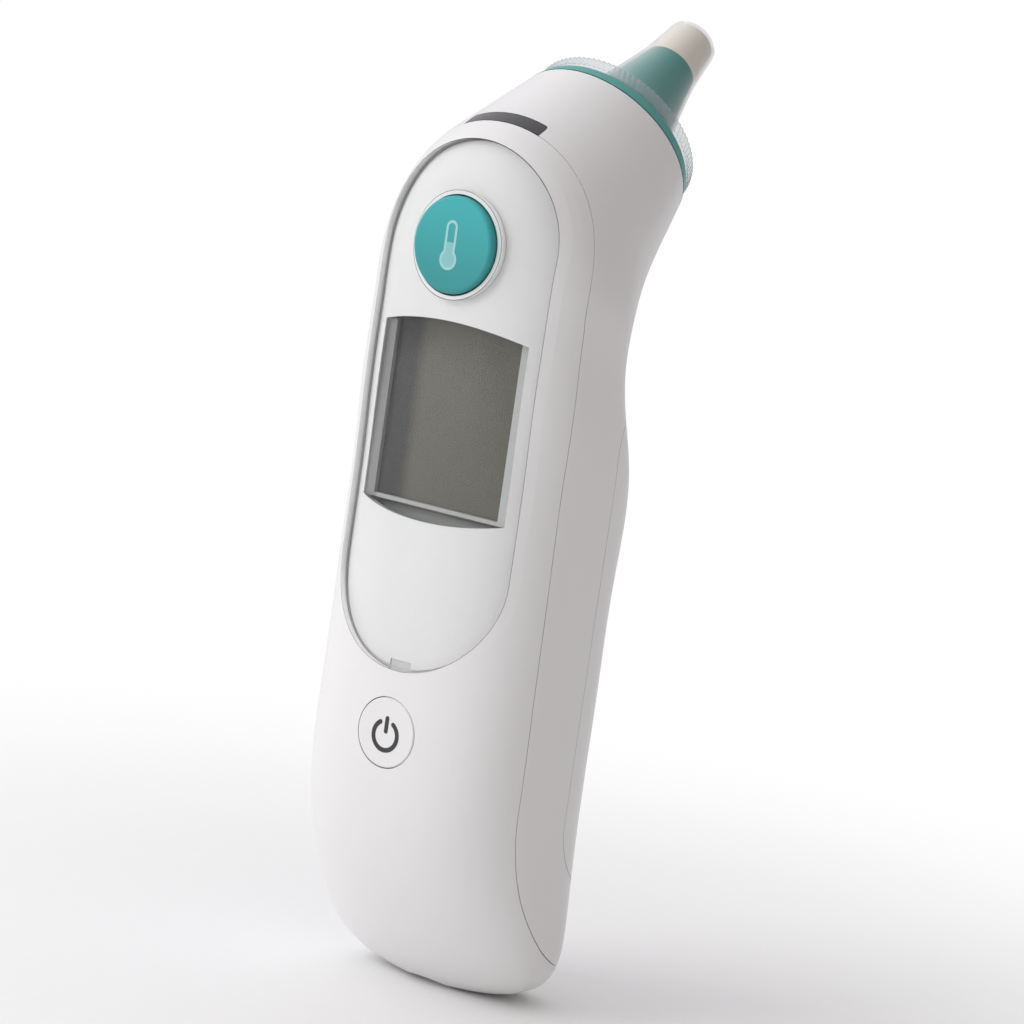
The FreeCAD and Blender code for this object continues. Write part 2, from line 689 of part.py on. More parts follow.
def make_board():
    """Main circuit board with its screw holes, switches, chip, light and beeper."""
    board = front_plate(
        "main_board",
        handle_place(),
        lambda sketch: add_rectangle(
            sketch, "-dims.board_half_width", "dims.board_half_width", "dims.board_low", "dims.board_high"
        ),
        "dims.board_front",
        "dims.board_thick",
    )
    holes = new_sketch(board, "main_board_holes", "XZ_Plane", "-dims.board_front")
    for x, z in BOARD_SCREWS:
        add_circle(holes, str(x), str(z), str(SHANK_RADIUS + 0.05))
    add_pocket(board, holes, "dims.board_thick")
    round_edges(board, "2", is_board_corner, "main_board_corners")

    back_y = "dims.board_front + dims.board_thick"
    front_plate(
        "microcontroller",
        handle_place(),
        lambda sketch: add_rectangle(sketch, "-4.5", "4.5", "55", "64"),
        "dims.board_front - 1.1",
        "1.1",
    )
    front_plate(
        "start_switch",
        handle_place(),
        lambda sketch: add_circle(sketch, "0", "dims.start_height", "2.2"),
        "dims.board_front - 1.2",
        "1.2",
    )
    front_plate(
        "power_switch",
        handle_place(),
        lambda sketch: add_circle(sketch, "0", "dims.power_height", "2.2"),
        "dims.board_front - 1.2",
        "1.2",
    )
    front_plate(
        "signal_light",
        handle_place(),
        lambda sketch: add_rectangle(sketch, "-1.6", "1.6", "dims.board_high - 4", "dims.board_high - 2"),
        back_y,
        "1",
    )
    front_plate(
        "beeper",
        handle_place(),
        lambda sketch: add_circle(sketch, "0", "92", "6"),
        back_y,
        "1.8",
    )
    front_plate(
        "sensor_connector",
        handle_place(),
        lambda sketch: add_rectangle(sketch, "-2.2", "2.2", "102.5", "106"),
        back_y,
        "2",
    )
    screws = [screw(x, z, size.board_front + size.board_thick) for x, z in BOARD_SCREWS]
    shaped("board_screws", Part.makeCompound(screws), handle_place())
    screws = [screw(x, z, back + CASE_LUG_THICK) for x, z, back in CASE_SCREWS]
    shaped("case_screws", Part.makeCompound(screws), handle_place())


# --------------------------------------------------------------------------
# Buttons
# --------------------------------------------------------------------------
def facing_front(height):
    """Placement of a turned piece whose own Z axis points to the front."""
    return Placement(Vector(0, -size.front_to_origin, height + size.foot_drop), Rotation(Vector(1, 0, 0), 90))


def make_button(key, height, face, rounding):
    """Round key cap: visible disc, retaining flange and a short plunger."""
    name = key + "_button"
    radius = f"dims.{key}_radius"
    front = f"-dims.{key}_flange_y"
    back = f"{front} - dims.key_step"
    end = f"{back} - dims.key_step"
    profile = [
        ("0", end), ("2", end), ("2", back), (f"{radius} + 0.9", back), (f"{radius} + 0.9", front),
        (radius, front), (radius, f"dims.{key}_proud"), ("0", f"dims.{key}_proud"),
    ]
    button = turned(name, facing_front(height), profile)
    round_edges(
        button, rounding, lambda edge: edge.Closed and abs(edge.BoundBox.ZMin - face) < TINY, name + "_rim"
    )


def make_key_pad(key, height):
    """Silicone dome between a key cap and its switch, just clear of the cap when pressed."""
    front = f"-dims.{key}_flange_y - 2 * dims.key_step - dims.{key}_travel - dims.gap"
    board = "-dims.board_front"
    profile = [
        ("0", f"{front} - 1.2"), ("2.4", f"{front} - 1.2"), ("3.8", f"{board} + 0.5"), ("3.8", board),
        ("5", board), ("5", f"{board} + 0.8"), ("4.4", f"{board} + 0.8"), ("2.8", front), ("0", front),
    ]
    turned(key + "_key_pad", facing_front(height), profile)


def make_buttons():
    make_button("start", size.start_height, size.start_proud, "0.6")
    make_button("power", size.power_height, size.power_proud, "0.25")
    make_key_pad("start", size.start_height)
    make_key_pad("power", size.power_height)


# --------------------------------------------------------------------------
# Battery compartment
# --------------------------------------------------------------------------
TRAY_HALF_WIDTH = 16.4
BATTERY_ROOM = "dims.battery_length + dims.spring_length"
PLUS_NUB = 1.2


def coil(radius, wire, height, turns):
    """Compression spring about Z, standing on Z = 0: tilted half rings that meet on the XZ plane."""
    middle = radius - wire
    climb = (height - 2 * wire) / (2 * turns)
    tilt = math.degrees(math.atan2(climb / 2, middle))
    rings = []
    for index in range(2 * turns):
        ring = Part.makeTorus(math.hypot(middle, climb / 2), wire, Vector(), Vector(0, 0, 1), 0, 360, 180)
        side = index % 2
        about_z = Rotation(Vector(0, 0, 1), 180 * side)
        about_y = Rotation(Vector(0, 1, 0), tilt * (1 - 2 * side))
        ring.Placement = Placement(Vector(0, 0, wire + climb * (index + 0.5)), about_y.multiply(about_z))
        rings.append(ring)
    return rings[0].fuse(rings[1:])


def make_battery_compartment():
    low = size.battery_low
    high = low + size.battery_length + size.spring_length
    tray = front_plate(
        "battery_tray",
        handle_place(),
        lambda sketch: add_rectangle(
            sketch,
            f"-{TRAY_HALF_WIDTH}",
            f"{TRAY_HALF_WIDTH}",
            "dims.battery_low - dims.contact_thick - dims.tray_wall",
            f"dims.battery_low + {BATTERY_ROOM} + dims.contact_thick + dims.tray_wall",
        ),
        "dims.tray_floor_y",
        "dims.tray_back_y - dims.tray_floor_y",
    )
    room = new_sketch(tray, "battery_tray_room", "XZ_Plane", "-dims.tray_back_y")
    add_rectangle(
        room,
        f"-{TRAY_HALF_WIDTH} + dims.tray_wall",
        f"{TRAY_HALF_WIDTH} - dims.tray_wall",
        "dims.battery_low - dims.contact_thick",
        "dims.battery_low + dims.battery_length + dims.spring_length + dims.contact_thick",
    )
    add_pocket(tray, room, "dims.tray_back_y - dims.tray_floor_y - dims.tray_wall", forwards=True)

    half_gap = size.battery_spacing / 2
    for name, x, upright in (("battery_left", -half_gap, True), ("battery_right", half_gap, False)):
        z = low + size.spring_length if upright else low + size.battery_length
        turn = Rotation() if upright else Rotation(Vector(1, 0, 0), 180)
        place = Placement(handle_place(x, size.battery_y, z).Base, turn)
        can = "dims.battery_radius"
        top = f"dims.battery_length - {PLUS_NUB}"
        profile = [("0", "0"), (can, "0"), (can, top), ("2.7", top), ("2.7", "dims.battery_length"),
                   ("0", "dims.battery_length")]
        battery = turned(name, place, profile)
        round_edges(battery, "0.5", lambda edge: edge.Closed and edge.BoundBox.XLength > 14, name + "_rims")

    plate_low = size.tray_floor_y + size.tray_wall + 0.5
    plate_depth = size.battery_y + 3.8 - plate_low
    inside = TRAY_HALF_WIDTH - size.tray_wall - 0.4
    thick = size.contact_thick
    bridge = Part.makeBox(2 * inside, plate_depth, thick, Vector(-inside, plate_low, low - thick))
    shaped("bridge_contact", bridge, handle_place())
    terminal = Part.makeBox(inside - 1.0, plate_depth, thick)
    left = terminal.copy()
    left.translate(Vector(-inside, plate_low, high))
    right = terminal.copy()
    right.translate(Vector(1.0, plate_low, high))
    shaped("terminal_contacts", Part.makeCompound([left, right]), handle_place())
    spring_low = coil(3.6, 0.35, size.spring_length, 3)
    spring_high = spring_low.copy()
    spring_low.translate(Vector(-half_gap, size.battery_y, low))
    spring_high.translate(Vector(half_gap, size.battery_y, low + size.battery_length))
    shaped("contact_springs", Part.makeCompound([spring_low, spring_high]), handle_place())


# --------------------------------------------------------------------------
# Head: probe, ejector and lens filter
# --------------------------------------------------------------------------
# (along the axis, radius) of the probe's outer line, teal cone first, pale tip after tip_low
CONE_LINE = [(6.6, 8.0), (10.0, 7.0), (15.0, 5.8), (18.0, 5.1), (21.0, 4.5)]
TIP_LINE = [(21.0, 4.5), (24.5, 4.12), (27.6, 3.8)]
NOSE_FLAT = 2.7


def profile_curve(line, outwards=0.0):
    """Smooth curve through (along, radius) points in the head frame's XZ plane."""
    curve = Part.BSplineCurve()
    curve.interpolate(Points=[Vector(radius + outwards, 0, along) for along, radius in line])
    return curve.toShape()


def spin(edges, corners):
    """Turns a profile about Z: curved edges plus a chain of straight lines through corners."""
    points = [Vector(radius, 0, along) for along, radius in corners]
    lines = [Part.makeLine(first, second) for first, second in zip(points, points[1:])]
    face = Part.Face(Part.Wire(Part.__sortEdges__(edges + lines)))
    return face.revolve(Vector(0, 0, 0), Vector(0, 0, 1), 360)


def round_nose(line, end, outwards, flat_radius):
    """Quarter-round from the end of a line to the flat nose."""
    along, radius = line[-1]
    radius += outwards
    middle_turn = math.radians(45)
    start = Vector(radius, 0, along)
    middle_radius = flat_radius + (radius - flat_radius) * math.cos(middle_turn)
    middle = Vector(middle_radius, 0, along + (end - along) * math.sin(middle_turn))
    return Part.Arc(start, middle, Vector(flat_radius, 0, end)).toShape()


def make_probe():
    """Probe cone with its barrel and flange, pale tip, and what they hold."""
    bore = size.probe_bore
    flange_top = size.flange_low + size.flange_thick
    cone = spin(
        [profile_curve(CONE_LINE)],
        [
            (size.tip_low, CONE_LINE[-1][1]),
            (size.tip_low, CONE_LINE[-1][1] - 1.0),
            (size.tip_low - 4, bore),
            (size.flange_low, bore),
            (size.flange_low, size.flange_radius),
            (flange_top, size.flange_radius),
            (flange_top, size.barrel_root_radius),
            (size.barrel_step, size.barrel_root_radius),
            (size.barrel_step, size.barrel_radius),
            (size.cone_low, size.barrel_radius),
        ],
    )
    holes = []
    for angle in PROBE_SCREW_ANGLES:
        x, y = in_head_circle(angle, PROBE_SCREW_CIRCLE)
        holes.append(Part.makeCylinder(SHANK_RADIUS + 0.05, 4, Vector(x, y, size.flange_low - 1)))
    shaped("probe_cone", biggest(cone.cut(holes)), head_place())

    wall = size.tip_wall
    tip = spin(
        [profile_curve(TIP_LINE), round_nose(TIP_LINE, size.tip_high, 0.0, NOSE_FLAT)],
        [
            (size.tip_high, NOSE_FLAT),
            (size.tip_high, 1.9),
            (size.tip_high - 0.9, 1.9),
            (size.tip_high - 0.9, 2.7),
            (size.holder_high, 3.15),
            (size.tip_low, TIP_LINE[0][1] - wall),
            (size.tip_low, TIP_LINE[0][1]),
        ],
    )
    shaped("probe_tip", biggest(tip), head_place())

    turned(
        "probe_window",
        head_place(),
        [("0", "dims.tip_high - 0.8"), ("1.85", "dims.tip_high - 0.8"), ("1.85", "dims.tip_high - 0.3"),
         ("0", "dims.tip_high - 0.3")],
    )
    turned(
        "wave_guide",
        head_place(),
        [("1.2", "dims.holder_low + 4.2"), ("1.6", "dims.holder_low + 4.2"), ("1.6", "dims.tip_high - 0.9"),
         ("1.2", "dims.tip_high - 0.9")],
    )
    turned(
        "infrared_sensor",
        head_place(),
        [("0", "dims.holder_low + 1"), ("2.3", "dims.holder_low + 1"), ("2.3", "dims.holder_low + 1.4"),
         ("2.05", "dims.holder_low + 1.4"), ("2.05", "dims.holder_low + 4"), ("0", "dims.holder_low + 4")],
    )
    turned(
        "sensor_holder",
        head_place(),
        [("2.35", "dims.holder_low"), ("3.1", "dims.holder_low"), ("3.1", "dims.holder_high"),
         ("1.65", "dims.holder_high"), ("1.65", "dims.holder_low + 4.2"), ("2.35", "dims.holder_low + 4.2")],
    )
    screws = []
    for angle in PROBE_SCREW_ANGLES:
        x, y = in_head_circle(angle, PROBE_SCREW_CIRCLE)
        shank = Part.makeCylinder(SHANK_RADIUS, 4.2, Vector(x, y, flange_top - 4.2))
        screws.append(Part.makeCylinder(HEAD_RADIUS, HEAD_THICK, Vector(x, y, flange_top)).fuse(shank))
    shaped("probe_screws", Part.makeCompound(screws), head_place())


def make_ejector():
    """Ejector ring that slides on the barrel, its spring and the filter detector pin."""
    slide_radius = "dims.barrel_radius + dims.running_gap"
    root_radius = "dims.barrel_root_radius + dims.running_gap"
    sleeve_radius = f"{slide_radius} + dims.sleeve_wall"
    spring_end = "dims.barrel_step - 2 * dims.eject_travel"
    ring = turned(
        "ejector_ring",
        head_place(),
        [
            (slide_radius, "dims.ring_thick"),
            (slide_radius, spring_end),
            (root_radius, spring_end),
            (root_radius, f"{spring_end} - dims.sleeve_foot"),
            (sleeve_radius, f"{spring_end} - dims.sleeve_foot"),
            (sleeve_radius, "dims.ring_thick - 1"),
            ("dims.collar_radius - 2.4", "dims.ring_thick - 1"),
            ("dims.collar_radius - 2.4", "dims.ring_base"),
            ("dims.collar_radius - 0.05", "dims.ring_base"),
            ("dims.ring_end_radius + 0.2", "dims.ring_thick - 0.3"),
            ("dims.ring_end_radius", "dims.ring_thick"),
        ],
    )
    bore = new_sketch(ring, "ejector_ring_pin_hole", "XY_Plane", "dims.ring_thick")
    add_circle(bore, "dims.pin_offset", "0", "dims.pin_radius + dims.running_gap")
    add_pocket(ring, bore, "2")

    room = 2 * size.eject_travel
    spring = coil(size.barrel_radius - 0.12, 0.35, room - size.gap, 4)
    shaped("ejector_spring", spring, head_place(size.barrel_step - room + size.gap / 2))

    pin = turned(
        "filter_pin",
        head_place(0, size.pin_offset),
        [("0", "-8"), ("1.3", "-8"), ("1.3", "-7"), ("dims.pin_radius", "-7"),
         ("dims.pin_radius", "dims.filter_base - 0.02"), ("0", "dims.filter_base - 0.02")],
    )
    round_edges(pin, "0.3", lambda edge: edge.Closed and edge.BoundBox.ZMin > 1, "filter_pin_nose")
    turned(
        "filter_switch",
        head_place(0, size.pin_offset + 0.4),
        [("0", "dims.flange_low + dims.flange_thick"), ("1.6", "dims.flange_low + dims.flange_thick"),
         ("1.6", "-8.1"), ("0", "-8.1")],
    )


def make_filter():
    """Clear disposable lens filter: ribbed flange, cone and a closed film at the nose."""
    gap = size.film_gap
    thick = size.film_thick
    base = size.filter_base + 0.02
    line = CONE_LINE + TIP_LINE[1:]
    nose = size.tip_high + gap
    outer_radius = size.filter_radius
    hub = size.barrel_radius + gap
    skin = filter_skin(line, base + 1.0, nose)
    rim = [
        (hub, base), (outer_radius, base), (outer_radius, base + size.filter_height),
        (outer_radius - 0.6, base + size.filter_height), (outer_radius - 0.6, base + 0.6),
        (hub + 2.6, base + 0.6), (hub + 2.6, base + 1.9), (hub + 2.1, base + 1.9), (hub + 2.1, base + 1.1),
        (hub + thick, base + 1.1), (hub + thick, base + 1.0), (hub, base + 1.0),
    ]
    points = [Vector(radius, 0, along) for radius, along in rim]
    face = Part.Face(Part.makePolygon(points + points[:1]))
    flange = face.revolve(Vector(0, 0, 0), Vector(0, 0, 1), 360)
    shaped("lens_filter", biggest(skin.fuse(flange)), head_place())


def filter_skin(line, foot, nose):
    """Thin cone of the filter: the space between two nested turned solids."""
    solids = []
    for grow in (0.0, size.film_thick):
        outwards = size.film_gap + grow
        end = nose + grow
        start, radius = line[0]
        edges = [profile_curve(line, outwards), round_nose(line, end, outwards, NOSE_FLAT)]
        radius += outwards
        corners = [(end, NOSE_FLAT), (end, 0.0), (foot, 0.0), (foot, radius), (start, radius)]
        solids.append(spin(edges, corners))
    return solids[1].cut(solids[0])


# (distance behind the connector, height) of the cable's last points
CABLE_END = [(3.4, 105.4), (1.4, 104.3), (0.15, 104.2)]


def make_cable():
    """Sensor cable from the holder, through the probe, to the connector on the board."""
    lean = math.radians(size.head_lean)
    start = size.holder_low - 0.1
    points = []
    for along in (start, 8.0, -6.0, size.flange_low - 2):
        y = size.collar_y + along * math.sin(lean)
        z = size.collar_height + along * math.cos(lean)
        points.append(Vector(0, y, z))
    connector_back = size.board_front + size.board_thick + 2.0
    points += [Vector(0, connector_back + rise, height) for rise, height in CABLE_END]
    path = Part.BSplineCurve()
    path.interpolate(Points=points)
    spine = Part.Wire([path.toShape()])
    ring = Part.Wire([Part.Circle(points[0], points[0] - points[1], 0.7).toShape()])
    shaped("sensor_cable", spine.makePipeShell([ring], True, True), handle_place())


# --------------------------------------------------------------------------
# Build, check and export
# --------------------------------------------------------------------------
def check_document():
    """Stops if any object failed or any sub-part is empty or invalid."""
    for item in doc.Objects:
        if any(word in item.State for word in ("Invalid", "Error")):
            raise RuntimeError(f"{item.Name} is {item.State}")
    for piece in sub_parts:
        if piece.Shape.isNull() or not piece.Shape.isValid() or not piece.Shape.Solids:
            raise RuntimeError(f"{piece.Label} has no valid solid")


outer = outer_form()
inner = outer_form(size.wall)
front = front_region()
make_cover_and_mask(outer)
make_front_housing(outer, inner, front)
make_rear_housing(outer, inner, front)
make_battery_door(outer)
make_light_lens(outer, front)
make_display()
make_board()
make_buttons()
make_battery_compartment()
make_probe()
make_ejector()
make_filter()
make_cable()
doc.recompute()
check_document()

os.makedirs("parts", exist_ok=True)
for piece in sub_parts:
    piece.Shape.exportStep(f"parts/{piece.Label}.step")
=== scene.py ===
"""Looks of the digital ear thermometer: materials, ribbed lens filter, printed signs, light and camera.

Units are metres.  The handle stands along +Z with the display facing -Y; the probe leans back towards +Y.
"""

import json
import math

import bmesh
import bpy
from mathutils import Matrix, Vector


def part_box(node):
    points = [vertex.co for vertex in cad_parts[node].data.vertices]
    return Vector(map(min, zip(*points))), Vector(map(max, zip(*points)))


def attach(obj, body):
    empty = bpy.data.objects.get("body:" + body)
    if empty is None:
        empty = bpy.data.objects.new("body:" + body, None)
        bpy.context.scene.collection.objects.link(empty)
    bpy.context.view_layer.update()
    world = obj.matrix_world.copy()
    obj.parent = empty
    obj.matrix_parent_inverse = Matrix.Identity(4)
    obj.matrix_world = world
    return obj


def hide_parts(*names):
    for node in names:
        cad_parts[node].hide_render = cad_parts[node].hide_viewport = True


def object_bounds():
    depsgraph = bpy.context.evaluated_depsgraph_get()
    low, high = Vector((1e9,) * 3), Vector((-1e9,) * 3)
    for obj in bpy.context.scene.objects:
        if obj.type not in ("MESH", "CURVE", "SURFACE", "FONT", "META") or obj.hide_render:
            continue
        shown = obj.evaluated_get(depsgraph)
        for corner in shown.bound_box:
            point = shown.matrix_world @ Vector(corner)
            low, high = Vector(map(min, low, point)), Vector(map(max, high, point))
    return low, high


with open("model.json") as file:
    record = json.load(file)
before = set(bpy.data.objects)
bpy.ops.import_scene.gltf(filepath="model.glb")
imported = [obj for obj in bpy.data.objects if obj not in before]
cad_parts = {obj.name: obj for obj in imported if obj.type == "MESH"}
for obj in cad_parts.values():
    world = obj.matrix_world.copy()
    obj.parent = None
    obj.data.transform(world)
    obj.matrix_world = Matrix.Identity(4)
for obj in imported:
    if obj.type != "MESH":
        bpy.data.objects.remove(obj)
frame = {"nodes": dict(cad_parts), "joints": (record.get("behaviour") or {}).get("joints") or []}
cad_low, cad_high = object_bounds()
nodes = frame["nodes"]

MM = 0.001

# --------------------------------------------------------------------------
# Places worked out from the frame
# --------------------------------------------------------------------------
axis = Vector(next(joint["axis"] for joint in frame["joints"] if joint["name"] == "ejector_slide"))
FILTER_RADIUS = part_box("lens_filter")[1].x
# underside of the filter's rim above the collar
FILTER_BASE = 2.22 * MM
filter_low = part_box("lens_filter")[0]
# centre of the collar's end face, on the probe axis
collar = Vector((
    0.0,
    filter_low.y - FILTER_BASE * axis.y + FILTER_RADIUS * axis.z,
    filter_low.z - FILTER_BASE * axis.z + FILTER_RADIUS * axis.y,
))
head_frame = Matrix.Translation(collar) @ Matrix.Rotation(-math.atan2(axis.y, axis.z), 4, "X")


def centre_of(node):
    """Middle of a CAD node's box."""
    low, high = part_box(node)
    return (low + high) / 2


# --------------------------------------------------------------------------
# Material building blocks
# --------------------------------------------------------------------------
def new_material(name):
    """A material with its node tree and Principled shader."""
    material = bpy.data.materials.new(name)
    material.use_nodes = True
    tree = material.node_tree
    return material, tree, tree.nodes["Principled BSDF"]


def place(tree):
    """Position in the object's own space, which is the frame's space at rest."""
    found = tree.nodes.get("place")
    if found is None:
        found = tree.nodes.new("ShaderNodeTexCoord")
        found.name = "place"
    return found.outputs["Object"]


def noise(tree, feature, detail=3.0, stretch=(1.0, 1.0, 1.0)):
    """Noise whose features are about `feature` metres across."""
    mapping = tree.nodes.new("ShaderNodeMapping")
    mapping.inputs["Scale"].default_value = stretch
    tree.links.new(place(tree), mapping.inputs["Vector"])
    node = tree.nodes.new("ShaderNodeTexNoise")
    node.inputs["Scale"].default_value = 1.0 / feature
    node.inputs["Detail"].default_value = detail
    tree.links.new(mapping.outputs["Vector"], node.inputs["Vector"])
    return node.outputs["Fac"]


def remap(tree, value, from_low, from_high, to_low, to_high, smooth=False):
    """Maps one range onto another, held at its ends."""
    node = tree.nodes.new("ShaderNodeMapRange")
    node.interpolation_type = "SMOOTHSTEP" if smooth else "LINEAR"
    limits = {"From Min": from_low, "From Max": from_high, "To Min": to_low, "To Max": to_high}
    for name, number in limits.items():
        node.inputs[name].default_value = number
    tree.links.new(value, node.inputs["Value"])
    return node.outputs["Result"]


def mix_colour(tree, factor, first, second):
    """Colour from first to second as factor goes from 0 to 1; each is a socket or plain values."""
    node = tree.nodes.new("ShaderNodeMix")
    node.data_type = "RGBA"
    sockets = [item for item in node.inputs if item.type == "RGBA"]
    for socket, value in zip(sockets, (first, second)):
        if isinstance(value, bpy.types.NodeSocket):
            tree.links.new(value, socket)
        else:
            socket.default_value = (*value, 1.0)
    if isinstance(factor, bpy.types.NodeSocket):
        tree.links.new(factor, node.inputs["Factor"])
    else:
        node.inputs["Factor"].default_value = factor
    return next(item for item in node.outputs if item.type == "RGBA")


def math_node(tree, operation, *values):
    """One arithmetic step on sockets or plain numbers."""
    node = tree.nodes.new("ShaderNodeMath")
    node.operation = operation
    for socket, value in zip(node.inputs, values):
        if isinstance(value, bpy.types.NodeSocket):
            tree.links.new(value, socket)
        else:
            socket.default_value = value
    return node.outputs["Value"]


def mix_shader(tree, factor, first, second):
    """Shader socket that goes from first to second as factor goes from 0 to 1."""
    node = tree.nodes.new("ShaderNodeMixShader")
    if isinstance(factor, bpy.types.NodeSocket):
        tree.links.new(factor, node.inputs["Fac"])
    else:
        node.inputs["Fac"].default_value = factor
    tree.links.new(first, node.inputs[1])
    tree.links.new(second, node.inputs[2])
    return node.outputs["Shader"]


def show_surface(tree, shader_socket):
    """Makes a shader socket the material's surface."""
    output = next(node for node in tree.nodes if node.type == "OUTPUT_MATERIAL")
    tree.links.new(shader_socket, output.inputs["Surface"])


def coordinate(tree, letter):
    """One coordinate of the position in the object's own space."""
    node = tree.nodes.new("ShaderNodeSeparateXYZ")
    tree.links.new(place(tree), node.inputs["Vector"])
    return node.outputs[letter]


def bump(tree, shader, height, distance):
    """Surface relief of the given depth in metres."""
    node = tree.nodes.new("ShaderNodeBump")
    node.inputs["Distance"].default_value = distance
    node.inputs["Strength"].default_value = 1.0
    tree.links.new(height, node.inputs["Height"])
    tree.links.new(node.outputs["Normal"], shader.inputs["Normal"])


CREVICE_SAMPLES = 12
CREVICE_REACH = 0.9 * MM


def crevice(tree, reach):
    """1 on open surfaces, towards 0 in joints and corners narrower than reach."""
    node = tree.nodes.new("ShaderNodeAmbientOcclusion")
    node.samples = CREVICE_SAMPLES
    node.inputs["Distance"].default_value = reach
    return node.outputs["AO"]


def scaled(colour, factor):
    """Colour times a factor, held below 1."""
    return tuple(min(1.0, part * factor) for part in colour)


BLOTCH_SIZE = 14 * MM
GLOSS_PATCH_SIZE = 7 * MM
MOULD_GRAIN = 0.12 * MM
PLASTIC_IOR = 1.5
COAT_ROUGHNESS = 0.08


def plastic(
    name, colour, roughness, mottle=0.03, grain=MOULD_GRAIN, relief=0.004 * MM,
    coat=0.0, joint_shade=0.25, patchy=0.12,
):
    """Moulded plastic: faint mottling, uneven gloss, fine mould grain and painted shade that darkens its
    joints and recesses.

    mottle and patchy are shares of the colour and the roughness; the joint share sets how much painted
    shade darkens joints and recesses.
    """
    material, tree, shader = new_material(name)
    blotches = noise(tree, BLOTCH_SIZE)
    base = mix_colour(tree, blotches, scaled(colour, 1 - mottle), scaled(colour, 1 + mottle))
    # painted shade: ambient occlusion darkens the colour in joints and recesses, where shade falls
    if joint_shade:
        shaded_joints = remap(tree, crevice(tree, CREVICE_REACH), 0.1, 0.5, joint_shade, 0.0)
        base = mix_colour(tree, shaded_joints, base, scaled(colour, 0.35))
    tree.links.new(base, shader.inputs["Base Color"])
    patches = noise(tree, GLOSS_PATCH_SIZE)
    gloss = remap(tree, patches, 0.0, 1.0, roughness * (1 - patchy), roughness * (1 + patchy))
    tree.links.new(gloss, shader.inputs["Roughness"])
    bump(tree, shader, noise(tree, grain, 2.0), relief)
    shader.inputs["IOR"].default_value = PLASTIC_IOR
    shader.inputs["Coat Weight"].default_value = coat
    shader.inputs["Coat Roughness"].default_value = COAT_ROUGHNESS
    return material


CLEAR_IOR = 1.49


def clear_plastic(name, tint, roughness, haze):
    """Clear moulding: refracts for the camera and lets light through to what is behind it."""
    material, tree, shader = new_material(name)
    shader.inputs["Base Color"].default_value = (*tint, 1.0)
    shader.inputs["Transmission Weight"].default_value = 1.0
    shader.inputs["IOR"].default_value = CLEAR_IOR
    gloss = remap(tree, noise(tree, 2.5 * MM), 0.3, 0.7, roughness * 0.6, roughness * 1.4)
    tree.links.new(gloss, shader.inputs["Roughness"])
    bump(tree, shader, noise(tree, 6 * MM, 1.0), 0.004 * MM)
    through = tree.nodes.new("ShaderNodeBsdfTransparent")
    through.inputs["Color"].default_value = (*scaled(tint, 0.99), 1.0)
    milk = tree.nodes.new("ShaderNodeBsdfDiffuse")
    milk.inputs["Color"].default_value = (*tint, 1.0)
    cloudy = mix_shader(tree, haze, shader.outputs["BSDF"], milk.outputs["BSDF"])
    path = tree.nodes.new("ShaderNodeLightPath")
    indirect = math_node(tree, "MAXIMUM", path.outputs["Is Shadow Ray"], path.outputs["Is Diffuse Ray"])
    show_surface(tree, mix_shader(tree, indirect, cloudy, through.outputs["BSDF"]))
    return material


def side_faces(tree):
    """1 on faces that stand square to the front, such as the rim of the display cover, and 0 elsewhere."""
    geometry = tree.nodes.new("ShaderNodeNewGeometry")
    split = tree.nodes.new("ShaderNodeSeparateXYZ")
    tree.links.new(geometry.outputs["True Normal"], split.inputs["Vector"])
    return remap(tree, math_node(tree, "ABSOLUTE", split.outputs["Y"]), 0.08, 0.16, 1.0, 0.0)


SHINE_HEAD_ON = 0.025
SHINE_GRAZING = 0.9
SHINE_POWER = 5.0
HAZE_START = 0.35


def thin_clear(name, tint, roughness, haze, edge_haze, milk_colour, mirror_sides=False):
    """Clear sheet: straight see-through, surface shine, and haze that grows towards grazing angles.

    mirror_sides gives a thick sheet the total reflection that its rim shows from inside.
    """
    material, tree, shader = new_material(name)
    tree.nodes.remove(shader)
    through = tree.nodes.new("ShaderNodeBsdfTransparent")
    tint_spots = mix_colour(tree, noise(tree, 8 * MM), scaled(tint, 0.985), tint)
    tree.links.new(tint_spots, through.inputs["Color"])
    shine = tree.nodes.new("ShaderNodeBsdfAnisotropic")
    shine.inputs["Color"].default_value = (1.0, 1.0, 1.0, 1.0)
    gloss = remap(tree, noise(tree, 2.5 * MM), 0.3, 0.7, roughness * 0.7, roughness * 1.3)
    tree.links.new(gloss, shine.inputs["Roughness"])
    milk = tree.nodes.new("ShaderNodeBsdfDiffuse")
    milk.inputs["Color"].default_value = (*milk_colour, 1.0)
    weight = tree.nodes.new("ShaderNodeLayerWeight")
    weight.inputs["Blend"].default_value = 0.5
    steep = math_node(tree, "POWER", weight.outputs["Facing"], SHINE_POWER)
    mirror_share = remap(tree, steep, 0.0, 1.0, SHINE_HEAD_ON, SHINE_GRAZING)
    haze_share = remap(tree, weight.outputs["Facing"], HAZE_START, 1.0, haze, edge_haze)
    if mirror_sides:
        mirror_share = math_node(tree, "MAXIMUM", mirror_share, side_faces(tree))
    sheet = mix_shader(tree, mirror_share, through.outputs["BSDF"], shine.outputs["BSDF"])
    cloudy = mix_shader(tree, haze_share, sheet, milk.outputs["BSDF"])
    path = tree.nodes.new("ShaderNodeLightPath")
    show_surface(tree, mix_shader(tree, path.outputs["Is Shadow Ray"], cloudy, through.outputs["BSDF"]))
    return material


BRUSH_STRETCH = (1.0, 1.0, 0.08)
BRUSH_SIZE = 0.4 * MM


